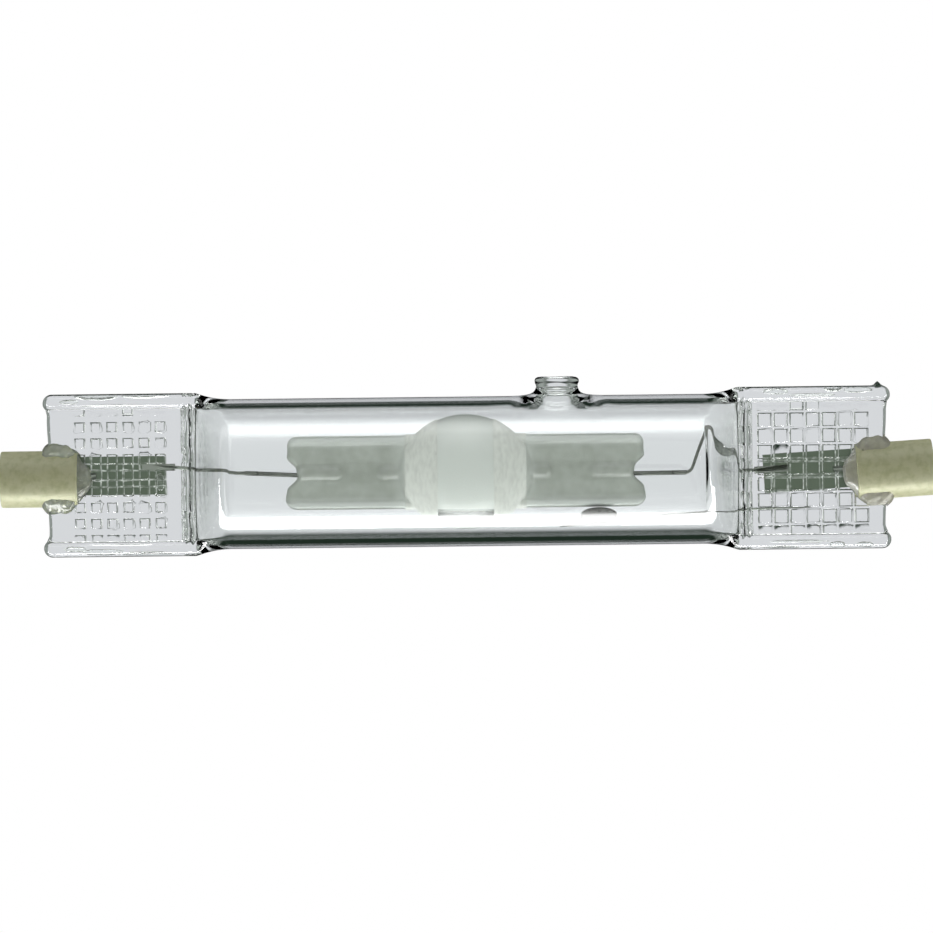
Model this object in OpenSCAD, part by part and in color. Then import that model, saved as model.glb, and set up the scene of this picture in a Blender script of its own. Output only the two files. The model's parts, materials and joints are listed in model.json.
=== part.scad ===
// Double-ended discharge lamp: a round quartz jacket pinched flat at both ends,
// a ribbed quartz arc tube held inside it on its two leads,
// and a ceramic cap with a sunk contact cemented on each pinch.
// X runs along the lamp. Z lies in the flat of the pinches, towards the exhaust tip.
// Y runs through the thickness of the pinches. The origin is the middle of the left contact's face.

/* [Lamp] */
// Height of the jacket's axis over the left contact
jacket_rise = 0.45; // [0:0.05:0.8]
// Gap between two pieces that are spot welded side by side
weld_gap = 0.02; // [0.01:0.01:0.06]

/* [Jacket tube] */
// Length of the jacket's round tube between its shoulders
tube_l = 68.4; // [62:0.2:90]
// Outside diameter of the jacket tube
tube_d = 21.8; // [20:0.1:23]
// Wall of the jacket tube
tube_wall = 1.25; // [0.8:0.05:1.4]

/* [Jacket pinches] */
// From a contact's face to the flat end of its pinch
pinch_inset = 5.1; // [4.6:0.1:6.4]
// Length of the flat field of a pinch
field_l = 19.5; // [18.5:0.1:22]
// Width of a pinch over its rims
pinch_w = 23.7; // [22:0.1:26]
// Thickness of the web between the rims
web_t = 3; // [2.9:0.05:3.4]
// Width of a rim
rim_w = 2.3; // [1.8:0.1:2.8]
// Thickness of a rim
rim_t = 4.6; // [4:0.1:5.4]
// How far the rims stand out past the end of the web
rim_proud = 0.7; // [0.3:0.05:1.2]
// Width of the ridge squeezed up at the inner end of the field
ridge_w = 1.9; // [1.2:0.1:2.4]
// Height of that ridge over the web
ridge_h = 0.75; // [0.3:0.05:1.2]
// Length of the shoulder between the ridge and the round tube
shoulder_l = 5.3; // [4.5:0.1:7]

/* [Jaw marks] */
// Spacing of the square pads that the pinch jaws leave
pad_pitch = 2.34; // [2.2:0.01:2.4]
// Height of a pad over the web
pad_h = 0.22; // [0.1:0.01:0.4]
// Side of a pad on the left pinch
left_pad_side = 1.35; // [0.8:0.05:1.9]
// Side of a pad on the right pinch
right_pad_side = 1.9; // [0.8:0.05:2]
// From the left contact to the first column of pads
left_pad_start = 9.76; // [9:0.01:11.4]
// From the right contact to the first column of pads
right_pad_start = 11; // [9:0.01:11.4]
// Columns of pads along a pinch
pad_cols = 6; // [3:1:6]
// Rows of pads on each side of the middle row
pad_side_rows = 3; // [1:1:3]

/* [Exhaust tip, sink mark and nib] */
// From the middle of the lamp to the exhaust tip
tip_shift = 13.2; // [8:0.1:18]
// Diameter of the exhaust tip
tip_d = 6.4; // [4:0.1:8]
// Height of the exhaust tip over the tube
tip_h = 2.85; // [2:0.05:4]
// Depth of the sink mark in the front of the right shoulder
sink_depth = 0.6; // [0.1:0.05:0.9]
// Height of the sink mark
sink_h = 8; // [5:0.1:11]
// Length of the sink mark
sink_l = 3.2; // [2:0.1:4]

// Diameter of the nib left on the right pinch
nib_d = 0.9; // [0.6:0.1:1.4]
// Height of the nib over its rim
nib_h = 0.65; // [0.2:0.05:1.2]
// From the right contact to the nib
nib_inset = 6.2; // [6:0.1:9]

/* [Caps] */
// Diameter of a ceramic cap
cap_d = 8.2; // [7.6:0.1:9]
// Length of a ceramic cap
cap_l = 11.15; // [10:0.05:12]
// Depth of the recess in front of a contact
recess_depth = 1.7; // [1:0.05:2.5]
// Diameter of that recess
recess_d = 5; // [4.2:0.1:6]
// Bore of a cap for its contact and its lead
cap_bore_d = 2.1; // [2.1:0.05:2.4]
// Gap on each side of the web in a cap's slot
slot_gap = 0.15; // [0.05:0.05:0.3]
// Height of the right contact over the left one
right_rise = 0.27; // [-0.5:0.01:0.8]
// Tilt of the right cap and its foil
right_tilt = 3.4; // [0:0.1:4]
// Break of a cap's outer edge
cap_edge = 0.2; // [0.1:0.05:0.4]

/* [Contacts] */
// Diameter of a contact's head
head_d = 4.4; // [3.8:0.1:4.5]
// Thickness of a contact's head
head_t = 1; // [0.6:0.05:1.4]
// Depth of the dish in a contact's face
dish_depth = 0.25; // [0.1:0.05:0.4]
// Length of a contact's shank
shank_l = 2.2; // [1.2:0.1:2.3]
// Gap round a contact in its cap
contact_gap = 0.05; // [0.02:0.01:0.1]

/* [Cement] */
// Diameter of the cement collar round a cap
cement_d = 11.2; // [10.4:0.1:12.4]
// How far the cement reaches past the inner end of a cap
cement_run = 2.4; // [1.5:0.1:3]
// Thickness of the cement over both faces of a pinch
cement_t = 6.2; // [5.2:0.1:7]

/* [Pinch foils] */
// Length of a foil in a jacket pinch
foil_l = 14; // [12:0.1:15]
// Width of that foil
foil_w = 5.6; // [4:0.1:7]
// Thickness of this foil and of the arc tube's foils
foil_t = 0.08; // [0.03:0.01:0.12]
// From the left contact to its foil
left_foil_inset = 8.3; // [7.9:0.1:9]
// From the right contact to its foil
right_foil_inset = 8.9; // [7.9:0.1:9]
// Height of the left foil over its cap's axis
left_foil_lift = 0.4; // [-0.4:0.05:0.8]
// Height of the right foil over its cap's axis
right_foil_lift = 0.67; // [-0.4:0.01:0.8]

/* [Leads] */
// Diameter of the lead from a foil to its contact
cap_lead_d = 0.8; // [0.6:0.05:0.9]
// How far that lead lies on its foil
cap_lead_lap = 3.8; // [2:0.1:5]
// Diameter of the lead from a foil to the arc tube
support_d = 0.5; // [0.4:0.05:0.7]
// Width of that lead's flattened end
paddle_w = 1; // [0.8:0.05:1.4]
// Thickness of that flattened end
paddle_t = 0.3; // [0.2:0.05:0.4]
// How far the flattened end lies on its foil
paddle_lap = 3.5; // [2:0.1:5]
// Length of the flattened end
paddle_l = 4.8; // [3:0.1:5.5]
// Height of the left lead over the middle of its foil
left_paddle_lift = 1.15; // [0:0.05:1.8]
// Height of the right lead over the middle of its foil
right_paddle_lift = 0.65; // [0:0.05:1.8]
// How far two welded leads lie side by side
weld_lap = 2; // [1:0.1:3]
// Height of the bend that lets the right lead give
bend_h = 7.3; // [4:0.1:8]
// Length of the bend's steep side
bend_up_l = 2.8; // [2.2:0.1:4]
// Length of the bend's other side
bend_down_l = 3.85; // [3:0.1:5]

/* [Arc tube] */
// From the ridge of a jacket pinch to the web of the arc tube
arc_room = 14.9; // [14:0.1:18]
// From the middle of the lamp to the middle of the arc tube
arc_shift = -0.2; // [-2:0.1:2]
// Gap between the bulb and the bore of the jacket
bulb_gap = 1.3; // [0.8:0.05:2.2]
// How far the centre of the bulb's barrel curve lies beyond the axis
barrel_drop = 1.95; // [1.2:0.05:4]
// Wall of the bulb
bulb_wall = 1.2; // [0.8:0.05:1.6]
// How far the bulb stands out past the rails of its pinches
bulb_step = 3; // [2.4:0.1:3.8]
// Thickness of its web
arc_web_t = 2.6; // [2.2:0.05:3]
// Width of a rail
rail_w = 1.5; // [1:0.1:2]
// Thickness of a rail
rail_t = 3.7; // [3:0.1:4.4]
// How far the rails stand out past the web
rail_proud = 1.6; // [0.6:0.1:2]
// Diameter of the ribs over the leads and the electrodes
rib_d = 2.1; // [1.6:0.1:2.6]
// Depth of a rib's axis under the web's face
rib_sink = 0.35; // [0.2:0.05:0.6]
// Length of the rib over a lead
lead_rib_l = 6.9; // [4:0.1:8]
// How far the rib over an electrode runs out of the heat coat
rod_rib_l = 3.9; // [2:0.1:5]

/* [Heat coats] */
// Width of a coat along the bulb
coat_w = 4.76; // [3:0.02:5.6]
// From the end of the bulb to a coat's outer edge
coat_inset = 1.3; // [0.5:0.05:1.6]
// Thickness of a coat
coat_t = 0.12; // [0.05:0.01:0.2]

/* [Arc tube fittings] */
// From the end of the bulb's hollow to the arc-tube foil
arc_foil_gap = 2.3; // [1.5:0.1:4]
// Width of an arc-tube foil
arc_foil_w = 3; // [2:0.1:4]
// From the end of the web to the arc-tube foil
arc_foil_inset = 4.4; // [3:0.1:5]
// Diameter of an arc-tube lead
arc_lead_d = 0.65; // [0.5:0.05:0.9]
// How far that lead reaches out of the pinch
arc_lead_free = 7.5; // [5:0.1:8.5]
// How far it lies on its foil
arc_lead_lap = 1.5; // [1:0.1:2.6]
// Drop of the left lead where it leaves the pinch
left_lead_dip = 0.28; // [0:0.01:0.6]
// Drop of the right lead where it leaves the pinch
right_lead_dip = 0.55; // [0:0.01:0.6]
// Rise of the left lead from there to its free end
left_lead_climb = 0.4; // [0:0.01:0.8]
// Rise of the right lead from there to its free end
right_lead_climb = 0.07; // [0:0.01:0.8]

/* [Electrodes] */
// Distance between the electrode tips
arc_gap = 10.6; // [8:0.1:13]
// Diameter of an electrode rod
rod_d = 0.5; // [0.4:0.05:0.8]
// How far a rod lies on its foil
rod_lap = 1.5; // [1:0.1:2.6]
// Wire of the coil on a rod
coil_wire_d = 0.3; // [0.2:0.01:0.4]
// Turns of that coil
coil_turns = 6; // [3:1:8]
// From the tip of a rod to its coil
coil_inset = 0.7; // [0.3:0.1:1.2]

/* [Fill] */
// Diameter of the mercury bead
bead_d = 1.1; // [0.6:0.1:1.6]
// From a coat's inner edge to the halide film on the bulb's floor
film_inset = 0.15; // [0.05:0.05:2]
// Height of that film
film_h = 1; // [0.5:0.1:1.4]
// Thickness of that film
film_t = 0.12; // [0.08:0.01:0.2]

/* [Getter] */
// Diameter of the getter cup
cup_d = 5.4; // [4:0.1:6]
// Depth of the getter cup
cup_t = 0.7; // [0.5:0.05:0.9]
// Sheet of the getter cup
cup_sheet = 0.15; // [0.1:0.01:0.25]
// Tilt of the getter cup towards the front
cup_tilt = 27; // [15:1:35]
// From the middle of the lamp to the getter cup
cup_shift = 19.1; // [17:0.1:21]
// From the getter cup's middle to the bore of the jacket under it
cup_room = 2.8; // [2.5:0.05:2.85]
// Diameter of the getter wire
getter_wire_d = 0.3; // [0.2:0.05:0.4]
// How far the getter wire runs past the cup
getter_tail = 3; // [1:0.1:4]
// Length and height of the wire's climb on the cup's other side
getter_climb_l = 3.4; // [2:0.1:5]
getter_climb_h = 1.2; // [0.4:0.1:1.8]
// Length of the getter wire in the right pinch
getter_root = 8.6; // [4:0.1:10]
// From the pinch's rim to that root
getter_root_inset = 3.85; // [2.5:0.05:4.5]

/* [Hidden] */
$fn = 64;

// Points round a lofted section, a multiple of four
ring_n = 48;
// Rings along a shoulder and along a ridge
shoulder_steps = 10;
ridge_steps = 5;
// Sides of a swept wire
wire_sides = 12;
// Overlap that joins two solids of one piece, and the step left where two hollows meet
bite = 0.3;
seam = 0.02;

tube_r = tube_d / 2;
bore_r = tube_r - tube_wall;
field_end = pinch_inset + field_l;
ridge_end = field_end + ridge_w;
shoulder_end = ridge_end + shoulder_l;
// Distance between the faces of the two contacts
contact_span = 2 * shoulder_end + tube_l;
middle = contact_span / 2;
// Half thickness of the slit where the hollow of the jacket runs out
slit_half = 0.22;
hollow_start = ridge_end + 0.25;

cap_start = -recess_depth;
cap_end = cap_start + cap_l;
cement_end = cap_end + cement_run;

// Heights through the pinch, from its mid-plane to the front, which is towards -Y
foil_face = -foil_t / 2;
cap_lead_y = foil_face - weld_gap - cap_lead_d / 2;
paddle_y = foil_face - paddle_t / 2;
arc_lead_y = foil_face - weld_gap - arc_lead_d / 2;
rod_y = foil_face - weld_gap - rod_d / 2;
support_y = arc_lead_y - arc_lead_d / 2 - weld_gap - support_d / 2;

bulb_r = bore_r - bulb_gap;
cavity_r = bulb_r - bulb_wall;
coat_reach = barrel_end(bulb_r) - coat_inset;
clear_half = coat_reach - coat_w;
arc_pinch_w = 2 * (bulb_r - bulb_step);
arc_middle = middle + arc_shift;
arc_half = middle - ridge_end - arc_room;
arc_foil_out = arc_half - arc_foil_inset;
arc_foil_in = barrel_end(cavity_r) + arc_foil_gap;
arc_foil_l = arc_foil_out - arc_foil_in;
arc_lead_end = arc_half + arc_lead_free;
cup_drop = bore_r - cup_room;

// Half the length of a barrel of radius r
function barrel_end(r) = sqrt(pow(r + barrel_drop, 2) - pow(barrel_drop, 2));

// Moves a point of the right end, given from the right contact inwards, to the lamp's frame
function right_place(p) = [
    contact_span - p.x * cos(right_tilt) - p.z * sin(right_tilt),
    p.y,
    right_rise - p.x * sin(right_tilt) + p.z * cos(right_tilt)];

function unit(v) = v / norm(v);

function smooth(t) = t * t * (3 - 2 * t);

// A path with each inner corner rounded, where reach gives how far a round runs along its legs
function rounded_path(corners, reach, steps = 4) = [
    corners[0],
    for (i = [1:len(corners) - 2])
        let (c = corners[i],
            a = c + reach[i - 1] * unit(corners[i - 1] - c),
            b = c + reach[i - 1] * unit(corners[i + 1] - c))
        for (k = [0:steps])
            let (t = k / steps)
            (1 - t) * (1 - t) * a + 2 * t * (1 - t) * c + t * t * b,
    corners[len(corners) - 1]];

// Half thickness of a pinched section at the height z over its middle
function pinch_half(z, w, web, rim, rim_thick) =
    let (rim_middle = w / 2 - rim / 2,
        q = min(1, abs(abs(z) - rim_middle) / (rim / 2)),
        bulge = rim_thick / 2 * sqrt(1 - pow(q, 3)))
    abs(z) > rim_middle ? bulge : max(web / 2, abs(z) > w / 2 - rim ? bulge : 0);

// A pinched section as [y, z] points, front and back alike, with its web lifted by lift
function pinch_section(w, web, rim, rim_thick, lift = 0) = [
    for (i = [0:ring_n - 1])
        let (a = 360 * i / ring_n,
            z = w / 2 * sin(a),
            inside = abs(z) < w / 2 - rim / 2,
            half = pinch_half(z, w, web, rim, rim_thick))
        [sign_of(cos(a)) * (inside ? max(half, web / 2 + lift) : half), z]];

function sign_of(v) = abs(v) < 1e-6 ? 0 : sign(v);

function jacket_section(lift = 0) = pinch_section(pinch_w, web_t, rim_w, rim_t, lift);

// Sink mark: how far the front wall gives way at a place on the shoulder
function sink(x, z, depth) =
    depth * exp(-pow((x - ridge_end - shoulder_l * 0.55) / (sink_l / 2), 2)
        - pow(z / (sink_h / 2), 4));

// One ring of the shoulder's outside, from the ridge at t = 0 to the tube at t = 1.
// Past t = 1 it runs on into the tube, a seam's width under its surface.
function shoulder_ring(t, depth) =
    let (s = smooth(min(t, 1)), flat = jacket_section(), r = tube_r - seam,
        x = ridge_end + shoulder_l * t)
    [for (i = [0:ring_n - 1])
        let (a = 360 * i / ring_n,
            y = (1 - s) * flat[i].x + s * r * cos(a),
            z = (1 - s) * flat[i].y + s * r * sin(a))
        [x, y + (y < 0 ? sink(x, z, depth * max(0, 1 - t)) : 0), z]];

// One ring of the shoulder's hollow, which ends in a slit between the two walls.
// Past t = 1 it runs on into the tube's bore, a seam's width clear of it.
function hollow_ring(t, depth) =
    let (s = smooth(min(t, 1)),
        x = hollow_start + (shoulder_end - hollow_start) * t,
        r = bore_r - seam)
    [for (i = [0:ring_n - 1])
        let (a = 360 * i / ring_n,
            slit = slit_half * sign_of(cos(a)) * sqrt(abs(cos(a))),
            y = (1 - s) * slit + s * r * cos(a),
            z = ((1 - s) * (pinch_w / 2 - rim_w) + s * r) * sin(a))
        [x, y + (y < 0 ? sink(x, z, depth * (1 - min(t, 1)) * s) : 0), z]];

// A solid through a row of rings of equal length
module loft(rings) {
    n = len(rings[0]);
    last = (len(rings) - 1) * n;
    sides = [
        for (j = [0:len(rings) - 2], i = [0:n - 1], half = [0, 1])
            let (a = j * n + i, b = j * n + (i + 1) % n)
            half == 0 ? [a, b + n, b] : [a, a + n, b + n]];
    polyhedron([for (ring = rings) each ring],
        concat(sides, end_faces(n, 0, false), end_faces(n, last, true)));
}

// Triangles across an end ring, in strips between its front and its back
function end_faces(n, first, flip) = [
    for (k = [-n / 4:n / 4 - 1], half = [0, 1])
        let (a = (k + n) % n, b = (k + 1 + n) % n,
            c = (n / 2 - k - 1 + n) % n, d = (n / 2 - k + n) % n,
            f = half == 0 ? [a, b, c] : [a, c, d])
        if (f[0] != f[1] && f[1] != f[2] && f[0] != f[2])
            [for (v = flip ? [f[2], f[1], f[0]] : f) first + v]];

// A wire swept along a path that nowhere runs along Y
module wire(path, d) {
    last = len(path) - 1;
    loft([
        for (i = [0:last])
            let (along = unit(path[min(i + 1, last)] - path[max(i - 1, 0)]),
                up = unit(cross(along, [0, 1, 0])),
                out = cross(up, along))
            [for (k = [0:wire_sides - 1])
                let (a = 360 * k / wire_sides)
                path[i] + d / 2 * (cos(a) * out + sin(a) * up)]]);
}

// A flat bar along X with the given [y, z] section
module bar(section, x0, x1) {
    translate([x0, 0, 0])
        rotate([90, 0, 90])
            linear_extrude(x1 - x0) polygon(section);
}

// The rounded end of a rim that stands out past its web, towards -X
module rim_end(x, proud, w, rim, rim_thick) {
    steps = [[0, 0.96], [0.55, 0.88], [0.85, 0.68], [1, 0.36]];
    for (side = [-1, 1])
        loft([
            for (i = [len(steps) - 1:-1:0])
                [for (k = [0:ring_n / 3 - 1])
                    let (a = 360 * k / (ring_n / 3), grow = steps[i][1],
                        c = cos(a), s = sin(a))
                    [x - proud * steps[i][0],
                        rim_thick / 2 * 0.9 * grow * sign_of(c) * pow(abs(c), 0.7),
                        side * (w / 2 - rim / 2) + rim / 2 * 0.9 * grow
                            * sign_of(s) * pow(abs(s), 0.7)]]]);
}

module in_jacket() {
    translate([0, 0, jacket_rise]) children();
}

module at_right_end() {
    translate([contact_span, 0, 0]) mirror([1, 0, 0]) children();
}

module in_right_cap() {
    translate([contact_span, 0, right_rise]) mirror([1, 0, 0])
        rotate([0, right_tilt, 0]) children();
}

// Jacket

module pads(start, side) {
    for (face = [-1, 1])
        translate([0, face > 0 ? web_t / 2 + pad_h : -web_t / 2 + bite, 0])
            rotate([90, 0, 0])
                linear_extrude(pad_h + bite)
                    for (c = [0:pad_cols - 1], r = [-pad_side_rows:pad_side_rows])
                        let (x = start + c * pad_pitch, z = r * pad_pitch)
                        if (abs(z) > cement_d / 2 + side / 2 || x > cement_end + side / 2)
                            translate([x - side / 2, z - side / 2]) square(side);
}

module pinch_field() {
    bar(jacket_section(), pinch_inset, field_end);
}

module pinch_end(start, side, depth) {
    rim_end(pinch_inset, rim_proud, pinch_w, rim_w, rim_t);
    pinch_field();
    loft(concat(
        [for (i = [0:ridge_steps - 1])
            let (t = i / ridge_steps, section = jacket_section(ridge_h * sin(180 * t)))
            [for (p = section) [field_end + ridge_w * t, p.x, p.y]]],
        [for (i = [0:shoulder_steps + 1]) shoulder_ring(i / shoulder_steps, depth)]));
    pads(start, side);
}

module shoulder_hollow(depth) {
    loft([for (i = [0:shoulder_steps + 1]) hollow_ring(i / shoulder_steps, depth)]);
}

module exhaust_tip() {
    r = tip_d / 2;
    top = tube_r + tip_h;
    translate([middle + tip_shift, 0, 0])
        rotate_extrude()
            polygon([
                [0, tube_r - tube_wall / 2], [r * 1.5, tube_r - tube_wall / 2],
                [r * 1.3, tube_r - tip_h * 0.1], [r * 1.08, tube_r + tip_h * 0.12],
                [r * 0.96, tube_r + tip_h * 0.35], [r, tube_r + tip_h * 0.7],
                [r * 0.93, top - tip_h * 0.08], [r * 0.7, top], [0, top - tip_h * 0.05]]);
}

module tip_hollow() {
    translate([middle + tip_shift, 0, tube_r - tube_wall * 1.5])
        cylinder(h = tube_wall * 1.5 + tip_h * 0.6, r1 = tip_d * 0.27, r2 = tip_d * 0.08);
}

// Drop of quartz left where a pinch was last touched by the burner
module nib() {
    r = nib_d / 2;
    root = pinch_w / 2 - bite;
    translate([nib_inset, 0, 0])
        rotate_extrude()
            polygon([
                [0, root], [r, root], [r * 0.9, root + bite + nib_h * 0.3],
                [r * 0.45, root + bite + nib_h * 0.85], [0, root + bite + nib_h]]);
}

module jacket() {
    color("lightcyan", 0.35)
    difference() {
        in_jacket() {
            translate([shoulder_end, 0, 0])
                rotate([0, 90, 0])
                    cylinder(h = tube_l, r = tube_r);
            pinch_end(left_pad_start, left_pad_side, 0);
            at_right_end() {
                pinch_end(right_pad_start, right_pad_side, sink_depth);
                nib();
            }
            exhaust_tip();
        }
        in_jacket() {
            translate([shoulder_end, 0, 0])
                rotate([0, 90, 0])
                    cylinder(h = tube_l, r = bore_r);
            shoulder_hollow(0);
            at_right_end() shoulder_hollow(sink_depth);
            tip_hollow();
        }
        left_foil();
        right_foil();
        left_cap_lead();
        right_cap_lead();
        left_support_lead();
        right_support_lead();
        getter_wire();
    }
}

// Caps, contacts and cement, each given for the left end in its cap's frame

module cap() {
    r = cap_d / 2;
    color("beige")
    difference() {
        rotate([0, 90, 0])
            rotate_extrude()
                polygon([
                    [recess_d / 2, cap_start], [r - cap_edge, cap_start],
                    [r, cap_start + cap_edge], [r, cap_end], [cap_bore_d / 2, cap_end],
                    [cap_bore_d / 2, head_t], [head_d / 2 + contact_gap, head_t],
                    [head_d / 2 + contact_gap, 0], [recess_d / 2, 0]]);
        cap_slot();
    }
}

// The slot that lets a cap straddle its pinch
module cap_slot() {
    translate([pinch_inset - 3 * slot_gap, -web_t / 2 - slot_gap, -cap_d])
        cube([cap_l, web_t + 2 * slot_gap, 2 * cap_d]);
}

module contact() {
    shank_r = cap_bore_d / 2 - contact_gap;
    hole_r = cap_lead_d / 2 + contact_gap;
    dish_r = head_d * 0.32;
    color("silver")
    rotate([0, 90, 0])
        rotate_extrude()
            polygon([
                [0, dish_depth], [dish_r * 0.8, dish_depth], [dish_r, 0], [head_d / 2, 0],
                [head_d / 2, head_t], [shank_r, head_t], [shank_r, head_t + shank_l],
                [hole_r, head_t + shank_l], [hole_r, head_t], [0, head_t]]);
}

// The space that a cap with its contact takes up, without its slot's gap
module cap_space() {
    rotate([0, 90, 0])
        translate([0, 0, cap_start + cap_edge]) cylinder(h = cap_l - cap_edge, d = cap_d);
}

// The collar of cement with room for its cap, before the pinch is taken out of it
module cement_collar() {
    difference() {
        intersection() {
            rotate([0, 90, 0])
                rotate_extrude()
                    polygon([
                        [0, pinch_inset - 1.2], [cap_d * 0.46, pinch_inset - 1.2],
                        [cement_d * 0.44, pinch_inset - 0.35], [cement_d / 2, pinch_inset + 0.5],
                        [cement_d / 2, pinch_inset + 2.4], [cement_d * 0.44, cap_end - 0.6],
                        [cap_d * 0.42, cap_end + cement_run * 0.45],
                        [cap_d * 0.27, cement_end - 0.3], [cap_d * 0.1, cement_end],
                        [0, cement_end]]);
            translate([0, -cement_t / 2, -cement_d])
                cube([cement_end + 1, cement_t, 2 * cement_d]);
        }
        difference() {
            cap_space();
            cap_slot();
        }
    }
}

module left_cap() { cap(); }

module right_cap() { in_right_cap() cap(); }

module left_contact() { contact(); }

module right_contact() { in_right_cap() contact(); }

module left_cement() {
    color("tan")
    difference() {
        cement_collar();
        in_jacket() pinch_field();
        left_cap_lead();
    }
}

module right_cement() {
    color("tan")
    difference() {
        in_right_cap() cement_collar();
        in_jacket() at_right_end() pinch_field();
        right_cap_lead();
    }
}

// Foils with feathered edges, as rolled for a pinch seal

module feathered(l, w, t) {
    edge = t / 4;
    feather = w / 6;
    bar([
        [-edge / 2, -w / 2], [edge / 2, -w / 2], [t / 2, -w / 2 + feather],
        [t / 2, w / 2 - feather], [edge / 2, w / 2], [-edge / 2, w / 2],
        [-t / 2, w / 2 - feather], [-t / 2, -w / 2 + feather]], 0, l);
}

module left_foil() {
    color("dimgray")
    translate([left_foil_inset, 0, left_foil_lift]) feathered(foil_l, foil_w, foil_t);
}

module right_foil() {
    color("dimgray")
    in_right_cap()
        translate([right_foil_inset, 0, right_foil_lift]) feathered(foil_l, foil_w, foil_t);
}

// Leads

function cap_lead_path(inset, lift) = [
    [head_t, 0, 0], [head_t + shank_l + 0.1, 0, 0],
    [pinch_inset - 0.4, cap_lead_y * 0.8, lift * 0.35],
    [pinch_inset + 1.2, cap_lead_y, lift * 0.6],
    [inset, cap_lead_y, lift], [inset + cap_lead_lap, cap_lead_y, lift]];

module left_cap_lead() {
    color("gray") wire(cap_lead_path(left_foil_inset, left_foil_lift), cap_lead_d);
}

module right_cap_lead() {
    color("gray")
    wire([for (p = cap_lead_path(right_foil_inset, right_foil_lift)) right_place(p)],
        cap_lead_d);
}

module paddle(inset, lift) {
    translate([inset + foil_l - paddle_lap, foil_face - paddle_t, lift - paddle_w / 2])
        cube([paddle_l, paddle_t, paddle_w]);
}

function paddle_root(inset, lift) = [inset + foil_l - paddle_lap + paddle_l - bite, paddle_y, lift];

// Free end of the left arc-tube lead, and the height of its weld
left_lead_z = jacket_rise - left_lead_dip + left_lead_climb;
right_lead_z = jacket_rise - right_lead_dip + right_lead_climb;

module left_support_lead() {
    lift = left_foil_lift + left_paddle_lift;
    color("dimgray") {
        paddle(left_foil_inset, lift);
        wire([paddle_root(left_foil_inset, lift),
            paddle_root(left_foil_inset, lift) + [1, 0, -0.08],
            [arc_middle - arc_lead_end - 1, support_y, left_lead_z],
            [arc_middle - arc_lead_end + weld_lap, support_y, left_lead_z]], support_d);
    }
}

module right_support_lead() {
    lift = right_foil_lift + right_paddle_lift;
    root = right_place(paddle_root(right_foil_inset, lift));
    foot = [contact_span - ridge_end - 0.2, paddle_y - 0.1, root.z];
    color("dimgray") {
        in_right_cap() paddle(right_foil_inset, lift);
        wire(rounded_path([
            root, foot,
            foot + [-bend_down_l, -0.1, bend_h],
            [foot.x - bend_down_l - bend_up_l, support_y, right_lead_z],
            [arc_middle + arc_lead_end - weld_lap, support_y, right_lead_z]],
            [0.9, 1.9, 1.1]), support_d);
    }
}

// Arc tube, given from its middle outwards along +X for one half

function arc_section(grow) =
    pinch_section(arc_pinch_w + 2 * grow, arc_web_t + 2 * grow, rail_w + grow, rail_t + 2 * grow);

module barrel(r) {
    curve = r + barrel_drop;
    rotate([0, 90, 0])
        rotate_extrude()
            intersection() {
                translate([-barrel_drop, 0]) circle(curve, $fn = 96);
                translate([0, -curve]) square([curve, 2 * curve]);
            }
}

// A bar along X with a round nose at its far end
module nosed_rib(x0, x1, d) {
    r = d / 2;
    translate([x0, 0, 0])
        rotate([0, 90, 0])
            rotate_extrude()
                polygon(concat([[0, 0], [r, 0]],
                    [for (a = [0:15:90]) [r * cos(a), x1 - x0 - r + r * sin(a)]]));
}

module arc_ribs(grow) {
    for (face = [-1, 1])
        translate([0, face * (arc_web_t / 2 - rib_sink), 0]) {
            nosed_rib(bulb_r / 2, coat_reach + rod_rib_l, rib_d + 2 * grow);
            translate([arc_half + bite, 0, 0]) mirror([1, 0, 0])
                nosed_rib(bite, lead_rib_l + bite, rib_d + 2 * grow);
        }
}

module arc_half_body(grow) {
    bar(arc_section(grow), 0, arc_half);
    arc_ribs(grow);
}

module arc_glass(grow = 0) {
    barrel(bulb_r + grow);
    arc_half_body(grow);
    mirror([1, 0, 0]) arc_half_body(grow);
}

module arc_rail_ends() {
    mirror([1, 0, 0]) rim_end(-arc_half, rail_proud, arc_pinch_w, rail_w, rail_t);
}

module in_arc_tube() {
    translate([arc_middle, 0, jacket_rise]) children();
}

module arc_tube() {
    color("whitesmoke", 0.6)
    difference() {
        in_arc_tube() {
            arc_glass();
            arc_rail_ends();
            mirror([1, 0, 0]) arc_rail_ends();
        }
        in_arc_tube() barrel(cavity_r);
        left_arc_foil();
        right_arc_foil();
        left_arc_lead();
        right_arc_lead();
        left_electrode_rod();
        right_electrode_rod();
    }
}

module heat_coat() {
    color("white")
    intersection() {
        difference() {
            arc_glass(coat_t);
            arc_glass();
        }
        translate([clear_half, -tube_r, -tube_r])
            cube([coat_w, tube_d, tube_d]);
    }
}

module left_heat_coat() { in_arc_tube() mirror([1, 0, 0]) heat_coat(); }

module right_heat_coat() { in_arc_tube() heat_coat(); }

module arc_foil() {
    color("dimgray")
    translate([arc_foil_in, 0, 0]) feathered(arc_foil_l, arc_foil_w, foil_t);
}

module left_arc_foil() { in_arc_tube() mirror([1, 0, 0]) arc_foil(); }

module right_arc_foil() { in_arc_tube() arc_foil(); }

module arc_lead(dip, climb) {
    color("dimgray")
    wire([
        [arc_foil_out - arc_lead_lap, arc_lead_y, 0], [arc_foil_out + 1, arc_lead_y, 0],
        [arc_half - 0.3, arc_lead_y, -dip], [arc_lead_end, arc_lead_y, climb - dip]],
        arc_lead_d);
}

module left_arc_lead() { in_arc_tube() mirror([1, 0, 0]) arc_lead(left_lead_dip, left_lead_climb); }

module right_arc_lead() { in_arc_tube() arc_lead(right_lead_dip, right_lead_climb); }

module electrode_rod() {
    color("slategray")
    translate([arc_gap / 2, rod_y, 0])
        rotate([0, 90, 0]) cylinder(h = arc_foil_in + rod_lap - arc_gap / 2, d = rod_d);
}

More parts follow.
